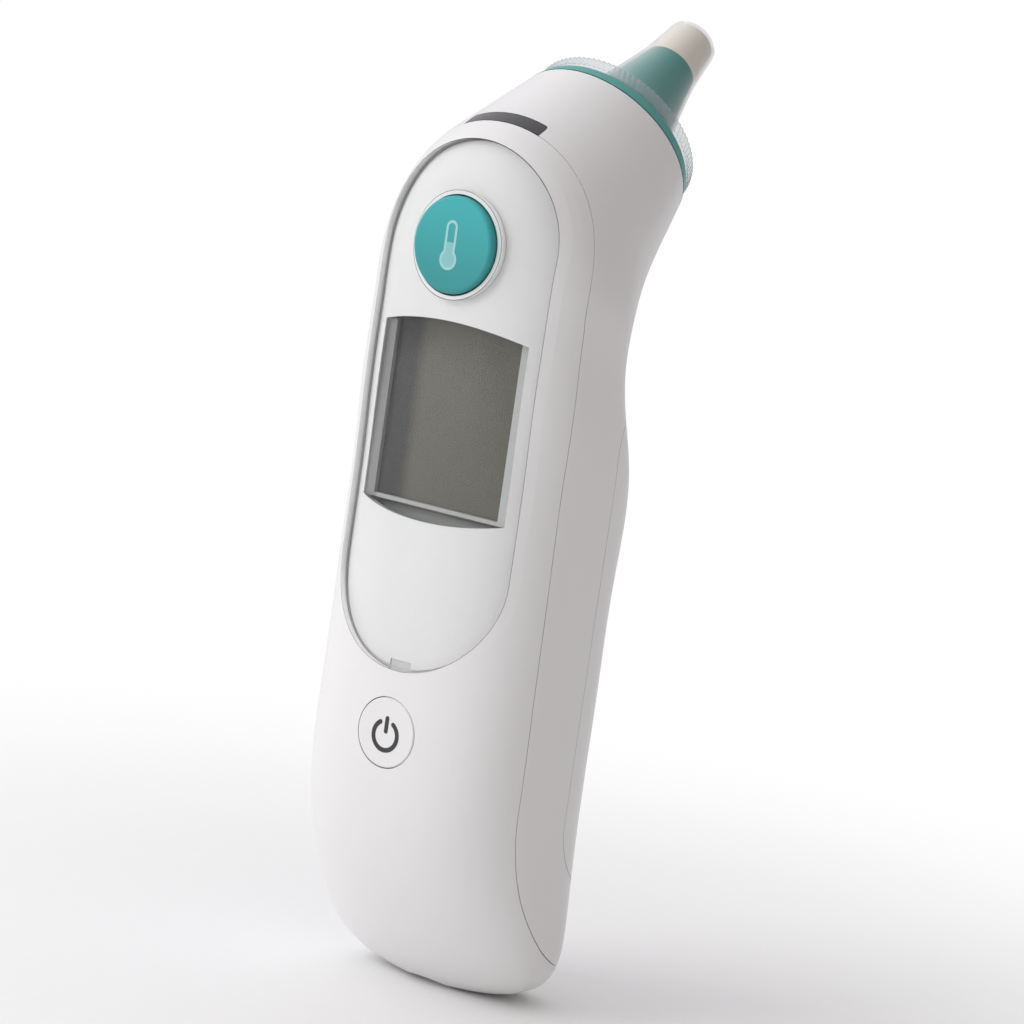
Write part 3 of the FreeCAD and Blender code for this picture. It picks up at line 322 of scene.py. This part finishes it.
def metal(name, colour, roughness):
    """Metal with fine lengthwise brushing and uneven shine."""
    material, tree, shader = new_material(name)
    shader.inputs["Metallic"].default_value = 1.0
    strokes = noise(tree, BRUSH_SIZE, 4.0, BRUSH_STRETCH)
    base = mix_colour(tree, strokes, scaled(colour, 0.85), scaled(colour, 1.08))
    tree.links.new(base, shader.inputs["Base Color"])
    shine = remap(tree, strokes, 0.3, 0.7, roughness * 0.7, roughness * 1.3)
    tree.links.new(shine, shader.inputs["Roughness"])
    bump(tree, shader, strokes, 0.01 * MM)
    return material


def banded(material, letter, limits, band_colour, soft):
    """Paints a band between two limits along one coordinate over the material's base colour."""
    tree = material.node_tree
    shader = tree.nodes["Principled BSDF"]
    here = coordinate(tree, letter)
    rising = remap(tree, here, limits[0] - soft, limits[0] + soft, 0.0, 1.0, smooth=True)
    falling = remap(tree, here, limits[1] - soft, limits[1] + soft, 1.0, 0.0, smooth=True)
    inside = math_node(tree, "MULTIPLY", rising, falling)
    socket = shader.inputs["Base Color"]
    base = socket.links[0].from_socket
    tree.links.new(mix_colour(tree, inside, base, band_colour), socket)
    return material


# --------------------------------------------------------------------------
# Materials of the object
# --------------------------------------------------------------------------
TRACK_SCALE = 220.0
TRACK_WIDTH = 0.03


def board_material():
    """Green solder mask with copper tracks showing through."""
    material, tree, shader = new_material("solder_mask")
    tracks = tree.nodes.new("ShaderNodeTexBrick")
    tracks.inputs["Scale"].default_value = TRACK_SCALE
    tracks.inputs["Mortar Size"].default_value = TRACK_WIDTH
    mapping = tree.nodes.new("ShaderNodeMapping")
    mapping.inputs["Rotation"].default_value = (math.radians(90), 0.0, 0.0)
    tree.links.new(place(tree), mapping.inputs["Vector"])
    tree.links.new(mapping.outputs["Vector"], tracks.inputs["Vector"])
    green = mix_colour(tree, noise(tree, 2 * MM), (0.010, 0.10, 0.035), (0.016, 0.15, 0.05))
    base = mix_colour(tree, tracks.outputs["Fac"], green, (0.03, 0.24, 0.08))
    tree.links.new(base, shader.inputs["Base Color"])
    shader.inputs["Roughness"].default_value = 0.32
    bump(tree, shader, tracks.outputs["Fac"], 0.03 * MM)
    return material


SHADOW_BAND_INSET = 4.4 * MM
SHADOW_BAND_WIDTH = 3.2 * MM


def lcd_material():
    """Grey-green display glass with a painted shadow, a soft dark band down its left edge where the bezel
    shades the sunk glass.
    """
    material, tree, shader = new_material("display_glass")
    low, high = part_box("lcd_glass")
    cloud = noise(tree, 9 * MM, 2.0)
    base = mix_colour(tree, cloud, (0.094, 0.090, 0.064), (0.112, 0.103, 0.080))
    across = coordinate(tree, "X")
    right = remap(tree, across, low.x, high.x, 0.0, 0.6)
    base = mix_colour(tree, right, base, (0.080, 0.082, 0.055))
    # painted shadow: the bezel's shade on the sunk glass, darkening the left edge
    shadow_band_start = low.x + SHADOW_BAND_INSET
    shade = remap(tree, across, shadow_band_start, shadow_band_start + SHADOW_BAND_WIDTH, 1.0, 0.0, smooth=True)
    base = mix_colour(tree, shade, base, (0.020, 0.020, 0.019))
    tree.links.new(base, shader.inputs["Base Color"])
    tree.links.new(remap(tree, noise(tree, 6 * MM), 0.3, 0.7, 0.36, 0.44), shader.inputs["Roughness"])
    bump(tree, shader, noise(tree, 5 * MM), 0.002 * MM)
    return material


def shade_downwards(material, letter, limits, factor):
    """Painted shade: darkens the base colour from the upper limit down to the lower one, as light from
    above leaves the lower part darker.
    """
    tree = material.node_tree
    shader = tree.nodes["Principled BSDF"]
    socket = shader.inputs["Base Color"]
    base = socket.links[0].from_socket
    share = remap(tree, coordinate(tree, letter), limits[0], limits[1], factor, 0.0, smooth=True)
    tree.links.new(mix_colour(tree, share, base, (0.0, 0.0, 0.0)), socket)
    return material


TOP_SHARE = 0.30
SLEEVE_INSET = 2.0 * MM
NUB_HEIGHT = 1.6 * MM
FOOT_HEIGHT = 0.8 * MM


def battery_material(name, upright):
    """Printed sleeve with a coloured top section and bare steel ends; the top is the end with the nub."""
    material = plastic("sleeve_" + name, (0.035, 0.037, 0.045), 0.28, coat=0.4)
    low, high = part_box(name)
    # heights of the nub's end and the foot's end, and the way from the nub to the foot
    nub, foot, down = (high.z, low.z, -1) if upright else (low.z, high.z, 1)
    length = high.z - low.z
    top = sorted((nub + down * TOP_SHARE * length, nub + down * SLEEVE_INSET))
    banded(material, "Z", top, (0.55, 0.26, 0.05), 0.15 * MM)
    for bare in ((nub + down * NUB_HEIGHT, nub - down * MM), (foot - down * FOOT_HEIGHT, foot + down * MM)):
        banded(material, "Z", sorted(bare), (0.62, 0.62, 0.60), 0.05 * MM)
    return material


WHITE = (0.79, 0.782, 0.782)
SHELL_GRAIN = 1.8 * MM
SHELL_RELIEF = 0.002 * MM
WALL_SHADE = (0.25, 0.25, 0.243)
WALL_REACH = 1.6 * MM
CONTACT_HALF = 0.3 * MM


def make_materials():
    """Every material of the object by its short name, apart from the batteries' sleeves."""
    button_low, button_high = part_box("start_button")
    wall_limits = (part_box("lcd_frame")[0].x - MM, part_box("lcd_glass")[0].x + WALL_REACH)
    contact = centre_of("contact_strip").y
    return {
        "shell": plastic(
            "warm_white_shell", WHITE, 0.30, mottle=0.004, grain=SHELL_GRAIN, relief=SHELL_RELIEF,
            coat=0.2, patchy=0.08,
        ),
        "key": plastic("white_key", WHITE, 0.33, mottle=0.004, grain=SHELL_GRAIN, relief=SHELL_RELIEF),
        "mask": plastic(
            "printed_white_sheet", (0.83, 0.822, 0.815), 0.45, mottle=0.004, grain=3 * MM,
            relief=0.001 * MM, joint_shade=0.0,
        ),
        "cover": thin_clear(
            "clear_cover_plastic", (0.98, 0.985, 0.985), 0.05, haze=0.0, edge_haze=0.10,
            milk_colour=(0.75, 0.77, 0.77), mirror_sides=True,
        ),
        "film": thin_clear(
            "clear_filter_film", (0.99, 0.99, 0.99), 0.12, haze=0.0, edge_haze=0.20,
            milk_colour=(0.74, 0.72, 0.73),
        ),
        "rim": thin_clear(
            "clear_filter_rim", (0.97, 0.98, 0.985), 0.10, haze=0.20, edge_haze=0.85,
            milk_colour=(0.50, 0.545, 0.57),
        ),
        # painted shade: the button's lower part darkened, as light from above falls off down its face
        "teal_button": shade_downwards(
            plastic("teal_button_satin", (0.044, 0.405, 0.415), 0.55),
            "Z", (button_low.z, button_high.z), 0.32,
        ),
        "teal": plastic("teal_probe_plastic", (0.055, 0.325, 0.30), 0.35, relief=0.002 * MM),
        "cream": plastic("cream_probe_tip", (0.94, 0.885, 0.78), 0.42, mottle=0.015, relief=0.002 * MM),
        "lens": plastic("smoked_lens", (0.020, 0.021, 0.023), 0.25, relief=0.002 * MM, coat=0.2),
        # painted shade: the bezel's left inner wall is darkened with the wall shade colour
        "bezel": banded(
            plastic("bezel_grey", (0.48, 0.49, 0.48), 0.45, joint_shade=0.1, relief=0.002 * MM),
            "X", wall_limits, WALL_SHADE, 0.4 * MM,
        ),
        "lcd": lcd_material(),
        "diffuser": plastic("milky_diffuser", (0.80, 0.80, 0.76), 0.5),
        "zebra": banded(
            plastic("contact_elastomer", (0.42, 0.25, 0.33), 0.7), "Y",
            (contact - CONTACT_HALF, contact + CONTACT_HALF), (0.03, 0.03, 0.03), 0.05 * MM,
        ),
        "board": board_material(),
        "chip": plastic("moulded_black", (0.025, 0.025, 0.027), 0.5, relief=0.02 * MM),
        "steel": metal("nickel_steel", (0.62, 0.61, 0.59), 0.30),
        "screw": metal("zinc_screw", (0.42, 0.42, 0.44), 0.38),
        "brass": metal("brass_plate", (0.78, 0.58, 0.25), 0.30),
        "gold": metal("gold_plating", (0.92, 0.70, 0.30), 0.15),
        "aluminium": metal("turned_aluminium", (0.75, 0.76, 0.78), 0.32),
        "window": metal("coated_window", (0.30, 0.27, 0.34), 0.08),
        "silicone": plastic("grey_silicone", (0.55, 0.56, 0.56), 0.65, relief=0.02 * MM),
        "tray": plastic("tray_plastic", (0.62, 0.62, 0.60), 0.48, relief=0.012 * MM),
        "pin": plastic("pin_plastic", (0.70, 0.70, 0.68), 0.4),
        "cable": plastic("cable_jacket", (0.03, 0.03, 0.032), 0.55, relief=0.02 * MM),
        "connector": plastic("connector_nylon", (0.72, 0.68, 0.55), 0.5),
        "lamp": clear_plastic("lamp_package", (0.85, 0.95, 0.85), 0.05, 0.3),
        "sign_pale": plastic("sign_pale_teal", (0.33, 0.60, 0.60), 0.5, relief=0.001 * MM, joint_shade=0.0),
        "sign_fill": plastic("sign_mid_teal", (0.24, 0.51, 0.52), 0.5, relief=0.001 * MM, joint_shade=0.0),
        "sign_dark": plastic("sign_dark_grey", (0.036, 0.041, 0.043), 0.5, joint_shade=0.0),
    }


NODE_MATERIALS = {
    "front_housing": "shell", "rear_housing": "shell", "battery_door": "shell", "power_button": "key",
    "display_cover": "cover", "cover_mask": "mask", "signal_light_lens": "lens", "lcd_frame": "bezel",
    "lcd_glass": "lcd", "backlight_diffuser": "diffuser", "contact_strip": "zebra", "main_board": "board",
    "microcontroller": "chip", "filter_switch": "chip", "start_switch": "steel", "power_switch": "steel",
    "bridge_contact": "steel", "terminal_contacts": "steel", "contact_springs": "steel",
    "ejector_spring": "steel", "board_screws": "screw", "case_screws": "screw", "probe_screws": "screw",
    "beeper": "brass", "infrared_sensor": "brass", "wave_guide": "gold", "sensor_holder": "aluminium",
    "probe_window": "window", "start_key_pad": "silicone", "power_key_pad": "silicone",
    "battery_tray": "tray", "filter_pin": "pin", "sensor_cable": "cable", "sensor_connector": "connector",
    "signal_light": "lamp", "start_button": "teal_button", "ejector_ring": "teal", "probe_cone": "teal",
    "probe_tip": "cream",
}


def paint_nodes(materials):
    """Gives each CAD node its material."""
    for name, key in NODE_MATERIALS.items():
        paint(nodes[name], materials[key])
    paint(nodes["battery_left"], battery_material("battery_left", True))
    paint(nodes["battery_right"], battery_material("battery_right", False))


def paint(piece, material):
    """Gives a piece one material."""
    piece.data.materials.clear()
    piece.data.materials.append(material)


# --------------------------------------------------------------------------
# New pieces
# --------------------------------------------------------------------------
def mesh_piece(name, mesh, material, body):
    """New visible piece that rides on a body."""
    piece = bpy.data.objects.new(name, mesh)
    bpy.context.scene.collection.objects.link(piece)
    paint(piece, material)
    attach(piece, body)
    return piece


# ribs round the rim; the twist is how many rib widths they lean over the rim's height
RIBS = 96
STEPS_PER_RIB = 8
RIB_DEPTH = 0.26 * MM
RIB_TWIST = 1.1


def rib_wave(turn):
    """Rounded saw-tooth between 0 and 1 over one rib."""
    share = turn % 1.0
    return 0.5 - 0.5 * math.cos(2 * math.pi * share ** 0.8)


HUB_RADIUS = 8.25 * MM
HUB_TOP = 5.9 * MM
RIM_HEIGHT = 2.5 * MM
# faces further than this from the probe axis belong to the rim, the others to the film
RIM_INNER_EDGE = 8.6 * MM
FILM_THICKNESS = 0.2 * MM
NOSE_FLAT = 2.7 * MM
NOSE_END = 28.85 * MM
# gap between probe and film, and the probe's radius at heights above the collar, in millimetres
FILM_CLEARANCE = 0.25
PROBE_OUTLINE = (
    (8.0, 6.6), (7.0, 10.0), (6.38, 12.5), (5.8, 15.0), (5.1, 18.0), (4.5, 21.0), (4.12, 24.5), (3.8, 27.6),
)


def from_rim(inwards, up, ribbing=0):
    """Profile row at millimetres inwards from the rim's outside and up from its underside."""
    return FILTER_RADIUS - inwards * MM, FILTER_BASE + up * MM, ribbing


def from_hub(outwards, up):
    """Profile row at millimetres outwards from the hub's bore and up from the rim's underside."""
    return HUB_RADIUS + outwards * MM, FILTER_BASE + up * MM, 0


def nose_rows(shoulder, grow):
    """Round from the film's shoulder to the flat end of its nose, moved outwards by grow."""
    wide, start = shoulder
    reach = wide + grow - NOSE_FLAT
    end = NOSE_END + grow
    angles = [math.radians(angle) for angle in (25, 50, 75)]
    rise = end - start
    arc = [(NOSE_FLAT + reach * math.cos(turn), start + rise * math.sin(turn), 0) for turn in angles]
    return arc + [(NOSE_FLAT * 0.9, end, 0), (0.0, end, 0)]


def filter_profile():
    """Closed section of the filter as (radius, along, ribbing) rows in metres."""
    # underside and ribbed outer wall of the rim
    rows = [from_hub(0, 0), from_rim(1.0, 0), from_rim(0.25, 0.05), from_rim(0.05, 0.25), from_rim(0, 0.55)]
    rows += [from_rim(0, 0.7 + 0.3 * step, 1) for step in range(6)]
    # over the rim's lip and down its inside
    rows += [from_rim(0.12, 2.42, 1), from_rim(0.35, 2.5, 1), from_rim(0.6, 2.42, 0.6)]
    rows += [from_rim(0.7, 2.1, 0.3), from_rim(0.72, 0.9), from_rim(0.95, 0.62)]
    # inner ridge
    rows += [from_hub(2.9, 0.6), from_hub(2.65, 0.9), from_hub(2.55, 1.75), from_hub(2.35, 1.9)]
    rows += [from_hub(2.15, 1.75), from_hub(2.0, 1.2), from_hub(0.55, 1.1), from_hub(0.2, 1.5)]
    # up the outside of the film, over the nose and back down its inside
    rows += [(HUB_RADIUS + FILM_THICKNESS, HUB_TOP, 0)]
    wall = [((wide + FILM_CLEARANCE) * MM, along * MM) for wide, along in PROBE_OUTLINE]
    rows += [(wide + FILM_THICKNESS, along, 0) for wide, along in wall]
    rows += nose_rows(wall[-1], FILM_THICKNESS)
    rows += reversed(nose_rows(wall[-1], 0.0))
    rows += [(wide, along, 0) for wide, along in reversed(wall)]
    return rows + [(HUB_RADIUS, HUB_TOP, 0)]


def make_filter(film, rim):
    """Disposable lens filter: knurled rim, inner ridge and a thin film cone over the probe."""
    rows = filter_profile()
    count = RIBS * STEPS_PER_RIB
    builder = bmesh.new()
    rings = []
    for radius, along, ribbing in rows:
        if radius == 0.0:
            rings.append([builder.verts.new((0.0, 0.0, along))])
            continue
        ring = []
        for index in range(count):
            lean = RIB_TWIST * (along - FILTER_BASE) / RIM_HEIGHT
            wave = rib_wave(index / STEPS_PER_RIB + lean)
            here = radius - ribbing * RIB_DEPTH * wave
            turn = 2 * math.pi * index / count
            ring.append(builder.verts.new((here * math.cos(turn), here * math.sin(turn), along)))
        rings.append(ring)
    for lower, upper in zip(rings, rings[1:] + rings[:1]):
        for index in range(count):
            following = (index + 1) % count
            if len(lower) == 1 and len(upper) == 1:
                break
            if len(lower) == 1:
                builder.faces.new((lower[0], upper[following], upper[index]))
            elif len(upper) == 1:
                builder.faces.new((lower[index], lower[following], upper[0]))
            else:
                builder.faces.new((lower[index], lower[following], upper[following], upper[index]))
    bmesh.ops.recalc_face_normals(builder, faces=builder.faces)
    mesh = bpy.data.meshes.new("clear_lens_filter")
    builder.to_mesh(mesh)
    builder.free()
    mesh.transform(head_frame)
    mesh.polygons.foreach_set("use_smooth", [True] * len(mesh.polygons))
    piece = mesh_piece("clear_lens_filter", mesh, film, "filter")
    mesh.materials.append(rim)
    for face in mesh.polygons:
        away = face.center - collar
        if (away - away.dot(axis) * axis).length > RIM_INNER_EDGE:
            face.material_index = 1
    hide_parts("lens_filter")


def flat_sign(name, outlines, centre, thickness, material, body):
    """Thin sign that faces -Y, from closed outlines of (x, z) points; inner outlines are holes."""
    curve = bpy.data.curves.new(name, "CURVE")
    curve.dimensions = "2D"
    curve.fill_mode = "BOTH"
    curve.extrude = thickness / 2
    for outline in outlines:
        spline = curve.splines.new("POLY")
        spline.points.add(len(outline) - 1)
        for point, (x, z) in zip(spline.points, outline):
            point.co = (x, z, 0.0, 1.0)
        spline.use_cyclic_u = True
    carrier = bpy.data.objects.new(name + "_curve", curve)
    bpy.context.scene.collection.objects.link(carrier)
    bpy.context.view_layer.update()
    mesh = bpy.data.meshes.new_from_object(carrier.evaluated_get(bpy.context.evaluated_depsgraph_get()))
    bpy.data.objects.remove(carrier)
    mesh.name = name
    mesh.transform(Matrix.Translation(centre) @ Matrix.Rotation(math.radians(90), 4, "X"))
    mesh_piece(name, mesh, material, body)


def arc_points(centre_x, centre_z, radius, start, end, count):
    """Points on an arc; angles in degrees, anticlockwise from +X."""
    angles = [math.radians(start + (end - start) * index / (count - 1)) for index in range(count)]
    return [(centre_x + radius * math.cos(angle), centre_z + radius * math.sin(angle)) for angle in angles]


BULB_RADIUS = 1.6 * MM
STEM_HALF = 1.06 * MM
SIGN_HEIGHT = 7.5 * MM
SIGN_LINE = 0.42 * MM


def thermometer_outline(inset, top=None):
    """Bulb and stem about the middle of the sign, moved inwards by inset; top cuts the stem off level."""
    bulb_z = -SIGN_HEIGHT / 2 + BULB_RADIUS
    bulb = BULB_RADIUS - inset
    stem = STEM_HALF - inset
    neck = math.degrees(math.asin(stem / bulb))
    points = arc_points(0.0, bulb_z, bulb, 90 + neck, 450 - neck, 40)
    cap_z = SIGN_HEIGHT / 2 - STEM_HALF
    if top is None:
        points += arc_points(0.0, cap_z, stem, 0, 180, 20)
    else:
        points += [(stem, top), (-stem, top)]
    return points


SIGN_THICKNESS = 0.05 * MM
SIGN_LIFT = 0.012 * MM
FILLING_LEVEL = 1.0 * MM


def make_start_sign(materials):
    """Generic thermometer sign printed on the start button."""
    low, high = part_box("start_button")
    middle = (low + high) / 2
    centre = Vector((-0.3 * MM, low.y - SIGN_LIFT, middle.z - 0.1 * MM))
    filled_to = -SIGN_HEIGHT / 2 + 2 * BULB_RADIUS + FILLING_LEVEL
    flat_sign(
        "start_sign_outline",
        [thermometer_outline(0.0), thermometer_outline(SIGN_LINE)],
        centre, SIGN_THICKNESS, materials["sign_pale"], "start_key",
    )
    flat_sign(
        "start_sign_filling",
        [thermometer_outline(SIGN_LINE, filled_to)],
        centre + Vector((0.0, 0.004 * MM, 0.0)), SIGN_THICKNESS,
        materials["sign_fill"], "start_key",
    )


POWER_RING = 2.27 * MM
POWER_RING_Z = -0.45 * MM
POWER_LINE = 0.72 * MM
# half of the ring's opening, in degrees
POWER_GAP = 33.0
POWER_BAR_TOP = 2.2 * MM
POWER_BAR_FOOT = 0.2 * MM


def make_power_sign(materials):
    """Generic power sign printed on the power button: open ring and a bar."""
    low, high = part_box("power_button")
    middle = (low + high) / 2
    centre = Vector((0.0, low.y - SIGN_LIFT, middle.z))
    half = POWER_LINE / 2
    start, end = 90 + POWER_GAP, 450 - POWER_GAP
    outer = arc_points(0.0, POWER_RING_Z, POWER_RING + half, start, end, 72)
    inner = arc_points(0.0, POWER_RING_Z, POWER_RING - half, end, start, 72)
    caps = []
    for angle, first, last in ((end, end, end + 180), (start, start + 180, start + 360)):
        turn = math.radians(angle)
        x, z = POWER_RING * math.cos(turn), POWER_RING_Z + POWER_RING * math.sin(turn)
        caps.append(arc_points(x, z, half, first, last, 12)[1:-1])
    ring = outer + caps[0] + inner + caps[1]
    bar = arc_points(0.0, POWER_BAR_TOP, half, 0, 180, 12)
    bar += arc_points(0.0, POWER_BAR_FOOT, half, 180, 360, 12)
    dark = materials["sign_dark"]
    for name, outline in (("power_sign_ring", ring), ("power_sign_bar", bar)):
        flat_sign(name, [outline], centre, SIGN_THICKNESS, dark, "power_key")


# width of the round on each piece's edges, in millimetres
EDGE_ROUNDS = {
    "front_housing": 0.10, "rear_housing": 0.10, "battery_door": 0.10, "display_cover": 0.18,
    "ejector_ring": 0.12, "lcd_frame": 0.15, "signal_light_lens": 0.10, "battery_tray": 0.2,
    "main_board": 0.06, "microcontroller": 0.1,
}
SHARP_EDGE = 50.0


def soften_edges():
    """Small rounds on the moulded edges of the shells and covers."""
    for name, width in EDGE_ROUNDS.items():
        rounding = nodes[name].modifiers.new("edge_round", "BEVEL")
        rounding.width = width * MM
        rounding.segments = 2
        rounding.limit_method = "ANGLE"
        rounding.angle_limit = math.radians(SHARP_EDGE)
        rounding.harden_normals = True


# --------------------------------------------------------------------------
# Studio
# --------------------------------------------------------------------------
FLOOR_RADIUS = 6.0
FLOOR_DROP = 0.3 * MM
FADE_START = 0.03
FADE_END = 0.22


def make_stage():
    """Pale floor that fades into the white surround away from the object."""
    material, tree, shader = new_material("studio_floor")
    paper = mix_colour(tree, noise(tree, 3 * MM), (0.93, 0.93, 0.93), (0.96, 0.96, 0.96))
    tree.links.new(paper, shader.inputs["Base Color"])
    shader.inputs["Roughness"].default_value = 0.8
    distance = tree.nodes.new("ShaderNodeVectorMath")
    distance.operation = "LENGTH"
    tree.links.new(place(tree), distance.inputs[0])
    far = remap(tree, distance.outputs["Value"], FADE_START, FADE_END, 0.0, 1.0, smooth=True)
    white = tree.nodes.new("ShaderNodeEmission")
    fade = mix_shader(tree, far, shader.outputs["BSDF"], white.outputs["Emission"])
    path = tree.nodes.new("ShaderNodeLightPath")
    show_surface(tree, mix_shader(tree, path.outputs["Is Camera Ray"], shader.outputs["BSDF"], fade))
    builder = bmesh.new()
    bmesh.ops.create_circle(builder, cap_ends=True, segments=96, radius=FLOOR_RADIUS)
    mesh = bpy.data.meshes.new("studio_floor")
    builder.to_mesh(mesh)
    builder.free()
    floor = bpy.data.objects.new("studio_floor", mesh)
    bpy.context.scene.collection.objects.link(floor)
    floor.location.z = cad_low.z - FLOOR_DROP
    paint(floor, material)


GLOW_LEFT = (0.64, 0.64, 0.66)
GLOW_RIGHT = (0.235, 0.212, 0.204)
GLOW_OVERHEAD = 1.7


def make_surround():
    """White surround for the camera; its light on the object is brighter on the left than on the right."""
    world = bpy.data.worlds.new("studio")
    bpy.context.scene.world = world
    world.use_nodes = True
    tree = world.node_tree
    background = tree.nodes["Background"]
    ray = tree.nodes.new("ShaderNodeTexCoord")
    split = tree.nodes.new("ShaderNodeSeparateXYZ")
    tree.links.new(ray.outputs["Generated"], split.inputs["Vector"])
    side = remap(tree, split.outputs["X"], -0.6, 0.9, 0.0, 1.0, smooth=True)
    glow = mix_colour(tree, side, GLOW_LEFT, GLOW_RIGHT)
    height = remap(tree, split.outputs["Z"], 0.0, 1.0, 1.0, GLOW_OVERHEAD, smooth=True)
    tree.links.new(height, background.inputs["Strength"])
    path = tree.nodes.new("ShaderNodeLightPath")
    seen = mix_colour(tree, path.outputs["Is Camera Ray"], glow, (1.0, 1.0, 1.0))
    tree.links.new(seen, background.inputs["Color"])


def make_light(name, offset, width, height, power, colour):
    """Soft rectangular lamp at an offset from the object's middle, aimed at it."""
    middle = (cad_low + cad_high) / 2
    where = middle + offset
    lamp = bpy.data.lights.new(name, "AREA")
    lamp.shape = "RECTANGLE"
    lamp.size = width
    lamp.size_y = height
    lamp.energy = power
    lamp.color = colour
    holder = bpy.data.objects.new(name, lamp)
    bpy.context.scene.collection.objects.link(holder)
    holder.location = where
    holder.rotation_mode = "QUATERNION"
    holder.rotation_quaternion = (middle - where).to_track_quat("-Z", "Y")
    holder.visible_glossy = False


KEY_POWER = 4.9
FILL_POWER = 0.4


def make_lights():
    """Large key light from the upper left and a weak fill from the front."""
    make_light("key_light", Vector((-0.55, -0.75, 0.45)), 0.7, 0.9, KEY_POWER, (1.0, 0.997, 0.992))
    make_light("front_fill", Vector((0.35, -1.0, 0.10)), 0.6, 0.9, FILL_POWER, (1.0, 0.99, 0.98))


CAMERA_AZIMUTH = 36.0
CAMERA_ELEVATION = 7.8
CAMERA_ROLL = 8.25
CAMERA_DISTANCE = 0.526
CAMERA_SIDE_SHIFT = 0.02726
LENS = 123.05
AIM_HEIGHT = 75.8 * MM


def make_camera():
    """Camera at the reference angle: to the object's right, a little above it and rolled."""
    turn = math.radians(CAMERA_AZIMUTH)
    rise = math.radians(CAMERA_ELEVATION)
    roll = math.radians(CAMERA_ROLL)
    level = Vector((math.cos(turn), math.sin(turn), 0.0))
    back = Vector((math.sin(turn) * math.cos(rise), -math.cos(turn) * math.cos(rise), math.sin(rise)))
    upright = back.cross(level)
    right = math.cos(roll) * level + math.sin(roll) * upright
    up = math.cos(roll) * upright - math.sin(roll) * level
    aim = Vector((0.0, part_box("front_housing")[0].y, AIM_HEIGHT))
    place_at = aim + CAMERA_DISTANCE * (back + CAMERA_SIDE_SHIFT * right)
    camera = bpy.data.objects.new("camera", bpy.data.cameras.new("camera"))
    bpy.context.scene.collection.objects.link(camera)
    camera.data.sensor_width = 36.0
    camera.data.lens = LENS
    camera.data.clip_start = 0.01
    camera.data.clip_end = 20.0
    turned = Matrix((right, up, back)).transposed().to_4x4()
    camera.matrix_world = Matrix.Translation(place_at) @ turned
    bpy.context.scene.camera = camera


# --------------------------------------------------------------------------
# Build
# --------------------------------------------------------------------------
materials = make_materials()
paint_nodes(materials)
soften_edges()
make_filter(materials["film"], materials["rim"])
make_start_sign(materials)
make_power_sign(materials)
make_stage()
make_surround()
make_lights()
make_camera()
bpy.context.scene.view_settings.view_transform = "Standard"
